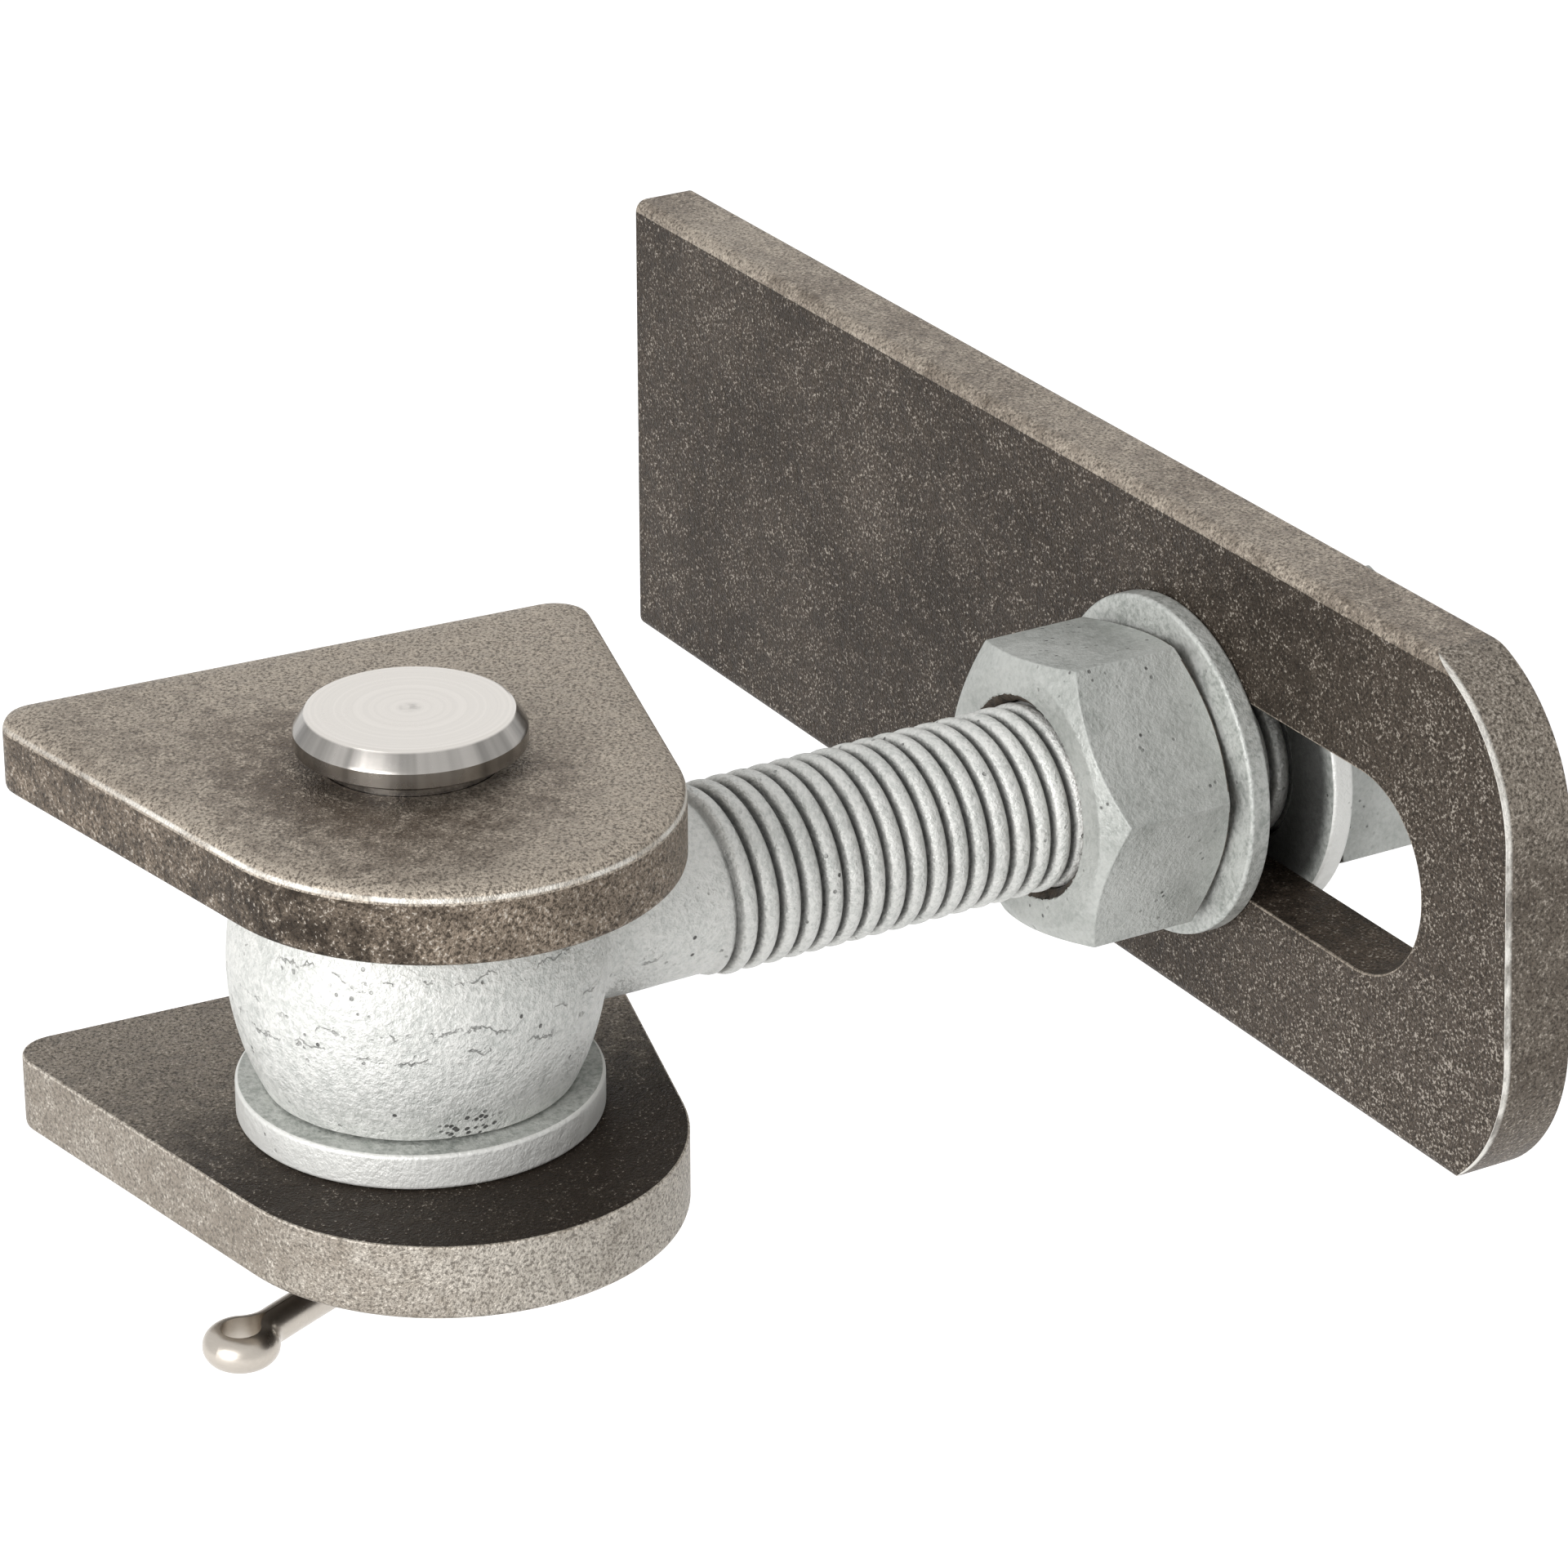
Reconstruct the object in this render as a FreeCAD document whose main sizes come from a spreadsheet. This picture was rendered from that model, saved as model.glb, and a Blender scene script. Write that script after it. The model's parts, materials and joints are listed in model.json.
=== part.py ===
"""Adjustable weld-on gate hinge: two ears on a headed pin, an eye bolt, and a slotted plate on its thread.

The origin is the middle of the lower ear's weld edge. +Z runs up the pin, +Y runs into the gate post, and +X
runs along the weld edge. The bolt points along +X, turned a little towards the post.
"""
import FreeCAD, Part
import math
import os
import re

import Sketcher

# Driving dimensions in millimetres and degrees: alias, value, what it measures
SIZES = (
    ("ear_thickness", 8.0, "plate that both ears are punched from"),
    ("ear_width", 66.0, "weld edge of an ear, corner to corner"),
    ("ear_corner_radius", 4.0, "rounding of the two weld corners"),
    ("hole_to_weld", 31.0, "pin axis to the weld edge"),
    ("nose_radius", 24.0, "round nose of an ear"),
    ("nose_setback", 6.5, "centre of the nose in front of the pin axis"),
    ("rolled_edge", 1.5, "rounded rim that the punch left on the upper ear"),
    ("dressed_edge", 0.6, "lightly broken rim of the other plates"),
    ("fit_clearance", 0.1, "radial play of the pin and of the thread"),
    ("pin_diameter", 18.0, "hinge pin"),
    ("pin_head_overhang", 2.5, "pin head beyond the pin, all round"),
    ("pin_head_rim", 1.8, "straight rim of the pin head"),
    ("pin_head_bevel", 1.8, "height of the bevel above the rim"),
    ("pin_head_bevel_width", 1.35, "width of that bevel"),
    ("pin_lift", 1.8, "pin head above the upper ear"),
    ("pin_tip_wall", 2.5, "pin below the cotter hole"),
    ("pin_tip_bevel", 1.0, "bevel at the pin's tip"),
    ("cotter_gap", 4.65, "lower ear to the cotter"),
    ("cotter_heading", 207.0, "direction in which the cotter's loop points"),
    ("cotter_half", 1.85, "radius of the cotter's half-round wire"),
    ("cotter_play", 0.15, "radial play of the cotter in its hole"),
    ("cotter_split", 0.05, "half of the gap between the cotter's legs"),
    ("cotter_loop_radius", 2.0, "inside of the cotter's loop"),
    ("cotter_neck_radius", 4.0, "bend between the loop and the legs"),
    ("cotter_neck_gap", 15.0, "pin wall to the neck of the loop"),
    ("cotter_exit_gap", 1.0, "pin wall to where the leg ends start to spread"),
    ("cotter_spread_radius", 9.0, "bend that spreads the leg ends"),
    ("cotter_spread", 37.7, "turn of each leg end"),
    ("spacer_diameter", 37.0, "ring under the eye"),
    ("spacer_thickness", 3.8, "height of that ring"),
    ("washer_bevel", 0.4, "broken rims of the ring and the washers"),
    ("eye_ball", 37.8, "ball-shaped eye across its equator"),
    ("eye_bow", 28.0, "radius of the eye's bulging side"),
    ("eye_width", 26.0, "eye across its two flats"),
    ("swing_at_rest", 3.5, "bolt turned from the weld edge towards the post"),
    ("neck_length", 10.6, "eye to the first thread"),
    ("neck_fillet", 3.0, "hollow between the eye and the neck"),
    ("thread_diameter", 20.0, "bolt thread, outside"),
    ("thread_rise", 0.7, "thread crest above the plain neck, which is the rolled thread's blank"),
    ("thread_runout", 1.2, "taper at the first thread"),
    ("bolt_tail", 6.0, "bolt beyond the rear nut"),
    ("bolt_tip_bevel", 1.8, "bevel at the bolt's end"),
    ("nut_across_flats", 30.0, "hexagon nut"),
    ("nut_height", 16.0, "hexagon nut"),
    ("nut_bore_bevel", 1.0, "countersink of the nut's thread"),
    ("nut_crown_margin", 0.9, "flats of a nut beyond the flat ring of its face"),
    ("nut_crown_slope", 30.0, "slope of the bevelled nut corners"),
    ("front_nut_turn", -9.0, "corner of the front nut from the plate's long direction"),
    ("rear_nut_turn", 31.5, "corner of the rear nut from the plate's long direction"),
    ("washer_diameter", 37.0, "clamp washers, outside"),
    ("washer_play", 0.5, "radial play of the clamp washers on the thread"),
    ("washer_thickness", 2.5, "clamp washers"),
    ("plate_stand_off", 90.0, "pin axis to the near face of the slotted plate"),
    ("plate_length", 173.0, "slotted plate, square end to rounded end"),
    ("plate_height", 55.1, "slotted plate"),
    ("plate_thickness", 8.0, "slotted plate"),
    ("plate_corner_radius", 18.8, "two corners that the punch cut at the slotted end"),
    ("plate_end_lean", 4.1, "turn of the punched end from square"),
    ("plate_upper_bite", 0.65, "punch beyond the plate's upper edge"),
    ("plate_lower_bite", 3.65, "punch beyond the plate's lower edge"),
    ("plate_rise", 0.35, "middle of the plate above the middle of the slot"),
    ("plate_edge_roll", 1.2, "rolled long rims of the near face"),
    ("slot_play", 1.0, "half of the slot's width beyond the thread's"),
    ("slot_floor_gap", 0.3, "thread to the slot's lower edge"),
    ("slot_outer_travel", 33.2, "bolt axis to the middle of the slot's outer end"),
    ("slot_inner_travel", 6.8, "bolt axis to the middle of the slot's inner end"),
    ("slot_margin", 13.9, "rounded end of the plate to the slot"),
)
ALIASES = {alias for alias, _, _ in SIZES}

# Lengths that several pieces share, from the driving dimensions
PIN_BORE = "(pin_diameter + 2 * fit_clearance)"
BOLT_HEIGHT = "(ear_thickness / 2 + spacer_thickness + eye_width / 2)"
UPPER_EAR_BASE = "(ear_thickness / 2 + spacer_thickness + eye_width)"
PIN_SEAT = "(1.5 * ear_thickness + spacer_thickness + eye_width + pin_lift)"
PIN_HEAD = "(pin_diameter / 2 + pin_head_overhang)"
COTTER_HEIGHT = "(-ear_thickness / 2 - cotter_gap - cotter_half)"
COTTER_NECK = "(pin_diameter / 2 + cotter_neck_gap)"
COTTER_EXIT = "(pin_diameter / 2 + cotter_exit_gap)"
COTTER_TIP = f"({COTTER_EXIT} + cotter_spread_radius * sin(cotter_spread))"
SHANK = "(thread_diameter - 2 * thread_rise)"
THREAD_START = "(eye_ball / 2 + neck_length)"
FRONT_NUT_FACE = "(plate_stand_off - washer_thickness - nut_height)"
REAR_WASHER_FACE = "(plate_stand_off + plate_thickness)"
REAR_NUT_FACE = f"({REAR_WASHER_FACE} + washer_thickness)"
BOLT_END = f"({REAR_NUT_FACE} + nut_height + bolt_tail)"
NUT_CORNER = "(nut_across_flats / 2 / cos(30))"
SLOT_RADIUS = "(thread_diameter / 2 + slot_play)"
PLATE_LIFT = "(slot_play - slot_floor_gap)"
PLATE_TIP = f"(slot_outer_travel + {SLOT_RADIUS} + slot_margin)"
UPPER_CORNER = "(plate_height / 2 + plate_rise - plate_corner_radius + plate_upper_bite)"
LOWER_CORNER = "(plate_height / 2 - plate_rise - plate_corner_radius + plate_lower_bite)"

ON_EDGE = 1e-4
NEAR = 0.05

doc = FreeCAD.newDocument("gate_hinge")
sheet = doc.addObject("Spreadsheet::Sheet", "Sizes")
for row, (alias, value, note) in enumerate(SIZES, start=1):
    sheet.set(f"A{row}", note)
    sheet.set(f"B{row}", str(value))
    sheet.setAlias(f"B{row}", alias)
doc.recompute()


def sized(expression):
    """Point each alias in an expression at its cell of the sheet."""
    return re.sub(r"[a-z_]+", lambda word: f"Sizes.{word[0]}" if word[0] in ALIASES else word[0],
                  expression)


def value_of(expression):
    """Present value of an expression of the driving dimensions."""
    return float(sheet.evalExpression(sized(expression).replace("Sizes.", "")))


def bind(feature, settings):
    """Bind properties of a feature to expressions of the driving dimensions."""
    for name, expression in settings.items():
        feature.setExpression(name, sized(expression))


def new_body(label, height, turn=None):
    """Body of one piece, with its origin on the pin's axis, turned about that axis if need be."""
    body = doc.addObject("PartDesign::Body", label)
    body.Label = label
    bind(body, {"Placement.Base.y": "-hole_to_weld", "Placement.Base.z": height})
    if turn:
        up = FreeCAD.Vector(0, 0, 1)
        body.Placement = FreeCAD.Placement(FreeCAD.Vector(), FreeCAD.Rotation(up, value_of(turn)))
        bind(body, {"Placement.Rotation.Angle": turn})
    return body


def new_sketch(body, name, plane, offset="0"):
    """Sketch on one of the body's own planes, moved along the plane's normal."""
    sketch = body.newObject("Sketcher::SketchObject", name)
    support = next(item for item in body.Origin.OriginFeatures if item.Role == plane)
    sketch.AttachmentSupport = [(support, "")]
    sketch.MapMode = "FlatFace"
    bind(sketch, {"AttachmentOffset.Base.z": offset})
    return sketch


def constrain(sketch, kind, *where, size=None):
    """Add a constraint, with its size bound to the sheet where it has one."""
    if size is None:
        sketch.addConstraint(Sketcher.Constraint(kind, *where))
        return
    index = sketch.addConstraint(Sketcher.Constraint(kind, *where, value_of(size)))
    bind(sketch, {f"Constraints[{index}]": size})


def add_polygon(sketch, corners):
    """Closed outline of straight lines through corners given as pairs of expressions."""
    points = [FreeCAD.Vector(value_of(x), value_of(y), 0) for x, y in corners]
    first = sketch.GeometryCount
    count = len(points)
    for index in range(count):
        sketch.addGeometry(Part.LineSegment(points[index], points[(index + 1) % count]))
    for index in range(count):
        constrain(sketch, "Coincident", first + index, 2, first + (index + 1) % count, 1)
    for index, (x, y) in enumerate(corners):
        constrain(sketch, "DistanceX", -1, 1, first + index, 1, size=x)
        constrain(sketch, "DistanceY", -1, 1, first + index, 1, size=y)


def add_circle(sketch, x, y, diameter):
    """Circle about a point given as expressions."""
    centre = FreeCAD.Vector(value_of(x), value_of(y), 0)
    circle = sketch.addGeometry(Part.Circle(centre, FreeCAD.Vector(0, 0, 1), value_of(diameter) / 2))
    constrain(sketch, "DistanceX", -1, 1, circle, 3, size=x)
    constrain(sketch, "DistanceY", -1, 1, circle, 3, size=y)
    constrain(sketch, "Diameter", circle, size=diameter)


def add_arc(sketch, x, y, radius, start, end):
    """Arc about a point, from plain numbers and angles in radians; the caller constrains it."""
    circle = Part.Circle(FreeCAD.Vector(x, y, 0), FreeCAD.Vector(0, 0, 1), radius)
    return sketch.addGeometry(Part.ArcOfCircle(circle, start, end))


def add_line(sketch, start, end):
    """Straight line between two points given as plain numbers; the caller constrains it."""
    return sketch.addGeometry(Part.LineSegment(FreeCAD.Vector(*start, 0), FreeCAD.Vector(*end, 0)))


def pad(body, sketch, length):
    """Extrude a sketch along its normal."""
    feature = body.newObject("PartDesign::Pad", "Pad")
    feature.Profile = sketch
    bind(feature, {"Length": length})
    doc.recompute()
    return feature


def revolve(body, sketch, axis):
    """Turn a sketch once round one of its own axes."""
    feature = body.newObject("PartDesign::Revolution", "Revolution")
    feature.Profile = sketch
    feature.ReferenceAxis = (sketch, [axis])
    feature.Angle = 360
    doc.recompute()
    return feature


def edges_where(feature, test):
    """Names of the edges of a feature whose bounding box passes a test."""
    edges = enumerate(feature.Shape.Edges, start=1)
    return [f"Edge{number}" for number, edge in edges if test(edge.BoundBox)]


def dress(body, kind, base, edges, **settings):
    """Round or bevel named edges of a feature."""
    feature = body.newObject(f"PartDesign::{kind}", kind)
    feature.Base = (base, edges)
    bind(feature, settings)
    doc.recompute()
    return feature


def flat_at(low, high, level):
    """Whether an interval lies at one level."""
    return abs(low - level) < ON_EDGE and abs(high - level) < ON_EDGE


def make_ear(label, base_height, upper_rim, lower_rim):
    """Teardrop plate: straight weld edge, two sides that run into a round nose, and the pin hole."""
    body = new_body(label, base_height)
    sketch = new_sketch(body, "Outline", "XY_Plane")
    half_width = value_of("ear_width / 2")
    weld = value_of("hole_to_weld")
    setback = value_of("nose_setback")
    nose = value_of("nose_radius")
    # Where the right side touches the nose, as an angle about the nose's centre
    corner_distance = math.hypot(half_width, weld + setback)
    touch = math.atan2(weld + setback, half_width) - math.acos(nose / corner_distance)
    right = FreeCAD.Vector(nose * math.cos(touch), nose * math.sin(touch) - setback, 0)
    left = FreeCAD.Vector(-right.x, right.y, 0)
    right_corner = FreeCAD.Vector(half_width, weld, 0)
    left_corner = FreeCAD.Vector(-half_width, weld, 0)
    edge = sketch.addGeometry(Part.LineSegment(right_corner, left_corner))
    left_side = sketch.addGeometry(Part.LineSegment(left_corner, left))
    arc = add_arc(sketch, 0, -setback, nose, math.pi - touch, 2 * math.pi + touch)
    right_side = sketch.addGeometry(Part.LineSegment(right, right_corner))
    constrain(sketch, "Coincident", edge, 2, left_side, 1)
    constrain(sketch, "Tangent", left_side, 2, arc, 1)
    constrain(sketch, "Tangent", arc, 2, right_side, 1)
    constrain(sketch, "Coincident", right_side, 2, edge, 1)
    constrain(sketch, "Symmetric", edge, 1, edge, 2, -2)
    constrain(sketch, "PointOnObject", arc, 3, -2)
    constrain(sketch, "DistanceX", edge, 2, edge, 1, size="ear_width")
    constrain(sketch, "DistanceY", -1, 1, edge, 1, size="hole_to_weld")
    constrain(sketch, "DistanceY", arc, 3, -1, 1, size="nose_setback")
    constrain(sketch, "Radius", arc, size="nose_radius")
    add_circle(sketch, "0", "0", PIN_BORE)
    plate = pad(body, sketch, "ear_thickness")
    corners = edges_where(plate, lambda box: box.ZLength > ON_EDGE and flat_at(box.YMin, box.YMax, weld))
    rounded = dress(body, "Fillet", plate, corners, Radius="ear_corner_radius")
    bore = value_of(PIN_BORE)
    top = value_of("ear_thickness")

    def outer_rim(level):
        return lambda box: flat_at(box.ZMin, box.ZMax, level) and abs(box.XLength - bore) > ON_EDGE

    rolled = dress(body, "Fillet", rounded, edges_where(rounded, outer_rim(top)), Radius=upper_rim)
    dress(body, "Fillet", rolled, edges_where(rolled, outer_rim(0)), Radius=lower_rim)
    return body


def make_hinge_pin():
    """Turned pin with a bevelled head and a cross hole for the cotter."""
    body = new_body("hinge_pin", "0", turn="cotter_heading")
    cross_hole = "(cotter_half + cotter_play)"
    tip = f"({COTTER_HEIGHT} - {cross_hole} - pin_tip_wall)"
    rim_top = f"{PIN_SEAT} + pin_head_rim"
    crown = f"{rim_top} + pin_head_bevel"
    sketch = new_sketch(body, "Profile", "XZ_Plane")
    add_polygon(sketch, (
        ("0", tip),
        ("pin_diameter / 2 - pin_tip_bevel", tip),
        ("pin_diameter / 2", f"{tip} + pin_tip_bevel"),
        ("pin_diameter / 2", PIN_SEAT),
        (PIN_HEAD, PIN_SEAT),
        (PIN_HEAD, rim_top),
        (f"{PIN_HEAD} - pin_head_bevel_width", crown),
        ("0", crown),
    ))
    turned = revolve(body, sketch, "V_Axis")
    drilled = new_sketch(body, "CrossHole", "YZ_Plane")
    add_circle(drilled, "0", COTTER_HEIGHT, f"2 * {cross_hole}")
    hole = body.newObject("PartDesign::Pocket", "Pocket")
    hole.Profile = drilled
    hole.Type = "ThroughAll"
    hole.SideType = "Symmetric"
    doc.recompute()
    if hole.Shape.Volume >= turned.Shape.Volume:
        raise RuntimeError("the cotter hole cut nothing")
    return body


def make_cotter_pin():
    """Split pin of half-round wire: loop, neck, straight legs and spread ends, one leg mirrored."""
    body = new_body("cotter_pin", COTTER_HEIGHT, turn="cotter_heading")
    split = value_of("cotter_split")
    loop_radius = value_of("cotter_loop_radius")
    neck_radius = value_of("cotter_neck_radius")
    neck = value_of(COTTER_NECK)
    leave = -value_of(COTTER_EXIT)
    spread_radius = value_of("cotter_spread_radius")
    # The neck's bend touches the loop from outside
    rise = split + neck_radius
    loop_x = neck + math.sqrt((neck_radius + loop_radius) ** 2 - rise ** 2)
    touch = math.atan2(rise, neck - loop_x)
    spread = math.radians(value_of("cotter_spread"))
    path = new_sketch(body, "Path", "XY_Plane")
    loop = add_arc(path, loop_x, 0, loop_radius, 0, touch)
    bend = add_arc(path, neck, rise, neck_radius, -math.pi / 2, touch - math.pi)
    leg = add_line(path, (neck, split), (leave, split))
    tip = add_arc(path, leave, split + spread_radius, spread_radius, -math.pi / 2 - spread, -math.pi / 2)
    constrain(path, "Tangent", loop, 2, bend, 2)
    constrain(path, "Tangent", bend, 1, leg, 1)
    constrain(path, "Tangent", leg, 2, tip, 2)
    constrain(path, "Horizontal", leg)
    constrain(path, "PointOnObject", loop, 3, -1)
    constrain(path, "PointOnObject", loop, 1, -1)
    constrain(path, "Radius", loop, size="cotter_loop_radius")
    constrain(path, "Radius", bend, size="cotter_neck_radius")
    constrain(path, "Radius", tip, size="cotter_spread_radius")
    constrain(path, "DistanceX", -1, 1, leg, 1, size=COTTER_NECK)
    constrain(path, "DistanceX", leg, 2, -1, 1, size=COTTER_EXIT)
    constrain(path, "DistanceX", tip, 1, -1, 1, size=COTTER_TIP)
    constrain(path, "DistanceY", -1, 1, leg, 1, size="cotter_split")
    section = new_sketch(body, "HalfRound", "XZ_Plane")
    half = value_of("cotter_half")
    front = loop_x + loop_radius
    bow = add_arc(section, front, 0, half, -math.pi / 2, math.pi / 2)
    flat = add_line(section, (front, half), (front, -half))
    constrain(section, "Coincident", bow, 2, flat, 1)
    constrain(section, "Coincident", bow, 1, flat, 2)
    constrain(section, "Vertical", flat)
    constrain(section, "PointOnObject", bow, 3, -1)
    constrain(section, "PointOnObject", bow, 3, flat)
    constrain(section, "Radius", bow, size="cotter_half")
    reach = "sqrt((cotter_neck_radius + cotter_loop_radius)^2 - (cotter_split + cotter_neck_radius)^2)"
    constrain(section, "DistanceX", -1, 1, bow, 3, size=f"{COTTER_NECK} + cotter_loop_radius + {reach}")
    wire = body.newObject("PartDesign::AdditivePipe", "Pipe")
    wire.Profile = section
    wire.Spine = path
    doc.recompute()
    mirrored = body.newObject("PartDesign::Mirrored", "Mirrored")
    mirrored.Originals = [wire]
    mirrored.MirrorPlane = (path, ["H_Axis"])
    body.Tip = mirrored
    doc.recompute()
    return body


def make_ring(body, plane, offset, outside, inside, height):
    """Flat ring with broken outer rims, along the normal of one of the body's planes."""
    sketch = new_sketch(body, "Ring", plane, offset)
    add_circle(sketch, "0", "0", outside)
    add_circle(sketch, "0", "0", inside)
    ring = pad(body, sketch, height)
    width = value_of(outside)
    rims = edges_where(ring, lambda box: max(box.XLength, box.YLength) > width - ON_EDGE)
    dress(body, "Chamfer", ring, rims, Size="washer_bevel")
    return body


def bolt_body(label):
    """Body on the bolt: its X axis is the bolt's axis, and its origin lies on the pin's axis."""
    return new_body(label, BOLT_HEIGHT, turn="swing_at_rest")


def make_eye_bolt():
    """Forged eye bolt: ball eye with two flats and a bore, hollow neck, thread envelope and bevelled end."""
    body = bolt_body("eye_bolt")
    ball = new_sketch(body, "Eye", "XZ_Plane")
    bore = value_of(PIN_BORE) / 2
    radius = value_of("eye_ball / 2")
    top = value_of("eye_width / 2")
    bulge = value_of("eye_bow")
    flat_radius = radius - bulge + math.sqrt(bulge ** 2 - top ** 2)
    corners = [
        FreeCAD.Vector(flat_radius, top, 0),
        FreeCAD.Vector(bore, top, 0),
        FreeCAD.Vector(bore, -top, 0),
        FreeCAD.Vector(flat_radius, -top, 0),
    ]
    lines = [ball.addGeometry(Part.LineSegment(*pair)) for pair in zip(corners, corners[1:])]
    upper, inner, lower = lines
    bow = add_arc(ball, radius - bulge, 0, bulge, -math.asin(top / bulge), math.asin(top / bulge))
    constrain(ball, "Coincident", upper, 2, inner, 1)
    constrain(ball, "Coincident", inner, 2, lower, 1)
    constrain(ball, "Coincident", lower, 2, bow, 1)
    constrain(ball, "Coincident", bow, 2, upper, 1)
    constrain(ball, "DistanceX", -1, 1, bow, 3, size="eye_ball / 2 - eye_bow")
    constrain(ball, "Horizontal", upper)
    constrain(ball, "Horizontal", lower)
    constrain(ball, "Symmetric", inner, 1, inner, 2, -1)
    constrain(ball, "DistanceX", -1, 1, inner, 1, size=f"{PIN_BORE} / 2")
    constrain(ball, "DistanceY", inner, 2, inner, 1, size="eye_width")
    constrain(ball, "Radius", bow, size="eye_bow")
    revolve(body, ball, "V_Axis")
    # The neck starts inside the eye's wall, clear of its bore
    root = f"({PIN_BORE} + eye_ball) / 4"
    stem = new_sketch(body, "Stem", "XZ_Plane")
    add_polygon(stem, (
        (root, "0"),
        (root, f"{SHANK} / 2"),
        (THREAD_START, f"{SHANK} / 2"),
        (f"{THREAD_START} + thread_runout", "thread_diameter / 2"),
        (f"{BOLT_END} - bolt_tip_bevel", "thread_diameter / 2"),
        (BOLT_END, "thread_diameter / 2 - bolt_tip_bevel"),
        (BOLT_END, "0"),
    ))
    forged = revolve(body, stem, "H_Axis")
    start = value_of(THREAD_START)
    neck_width = value_of(SHANK)
    inside = value_of(root)
    joint = edges_where(
        forged,
        lambda box: inside < box.XMin and box.XMax < start - ON_EDGE and abs(box.ZLength - neck_width) < NEAR,
    )
    if not joint:
        raise RuntimeError("the neck's joint with the eye wasn't found")
    dress(body, "Fillet", forged, joint, Radius="neck_fillet")
    return body


def make_nut(label, near_face, turn):
    """Hexagon nut along the bolt, its corners bevelled at both faces and its bore countersunk."""
    body = bolt_body(label)
    sketch = new_sketch(body, "Hexagon", "YZ_Plane", near_face)
    add_polygon(sketch, [
        (f"{NUT_CORNER} * cos({turn} + {60 * side})", f"{NUT_CORNER} * sin({turn} + {60 * side})")
        for side in range(6)
    ])
    bore = "(thread_diameter + 2 * fit_clearance)"
    add_circle(sketch, "0", "0", bore)
    block = pad(body, sketch, "nut_height")
    width = value_of(bore)
    mouths = edges_where(block, lambda box: box.XLength < ON_EDGE and abs(box.YLength - width) < ON_EDGE)
    countersunk = dress(body, "Chamfer", block, mouths, Size="nut_bore_bevel")
    crown = "(nut_across_flats / 2 - nut_crown_margin)"
    outside = f"({NUT_CORNER} + nut_crown_margin)"
    depth = f"({outside} - {crown}) * tan(nut_crown_slope)"
    far_face = f"({near_face} + nut_height)"
    before = countersunk.Shape.Volume
    for name, face, inward in (("NearBevel", near_face, "+"), ("FarBevel", far_face, "-")):
        corner = new_sketch(body, name, "XZ_Plane")
        add_polygon(corner, (
            (face, crown),
            (face, outside),
            (f"{face} {inward} {depth}", outside),
        ))
        groove = body.newObject("PartDesign::Groove", "Groove")
        groove.Profile = corner
        groove.ReferenceAxis = (corner, ["H_Axis"])
        groove.Angle = 360
        doc.recompute()
        if groove.Shape.Volume >= before:
            raise RuntimeError(f"{label}: {name} cut nothing")
        before = groove.Shape.Volume
    return body


def make_slot_plate():
    """Flat bar across the bolt: square weld end, punched round end that leans a little, one long slot."""
    body = bolt_body("slot_plate")
    sketch = new_sketch(body, "Outline", "YZ_Plane", "plate_stand_off")
    add_plate_outline(sketch)
    radius = value_of(SLOT_RADIUS)
    lift = value_of(PLATE_LIFT)
    outer = -value_of("slot_outer_travel")
    inner = value_of("slot_inner_travel")
    near_end = add_arc(sketch, outer, lift, radius, math.pi / 2, 1.5 * math.pi)
    far_end = add_arc(sketch, inner, lift, radius, -math.pi / 2, math.pi / 2)
    floor = add_line(sketch, (outer, lift - radius), (inner, lift - radius))
    roof = add_line(sketch, (inner, lift + radius), (outer, lift + radius))
    constrain(sketch, "Tangent", near_end, 2, floor, 1)
    constrain(sketch, "Tangent", floor, 2, far_end, 1)
    constrain(sketch, "Tangent", far_end, 2, roof, 1)
    constrain(sketch, "Tangent", roof, 2, near_end, 1)
    constrain(sketch, "Horizontal", floor)
    constrain(sketch, "Radius", near_end, size=SLOT_RADIUS)
    constrain(sketch, "DistanceY", -1, 1, near_end, 3, size=PLATE_LIFT)
    constrain(sketch, "DistanceX", near_end, 3, -1, 1, size="slot_outer_travel")
    constrain(sketch, "DistanceX", -1, 1, far_end, 3, size="slot_inner_travel")
    blank = pad(body, sketch, "plate_thickness")
    near = value_of("plate_stand_off")
    far = near + value_of("plate_thickness")
    long_way = value_of("plate_length") / 2

    def long_rim(level):
        return lambda box: flat_at(box.XMin, box.XMax, level) and box.YLength > long_way

    rolled = dress(body, "Fillet", blank, edges_where(blank, long_rim(near)), Radius="plate_edge_roll")
    dress(body, "Fillet", rolled, edges_where(rolled, long_rim(far)), Radius="dressed_edge")
    return body


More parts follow.
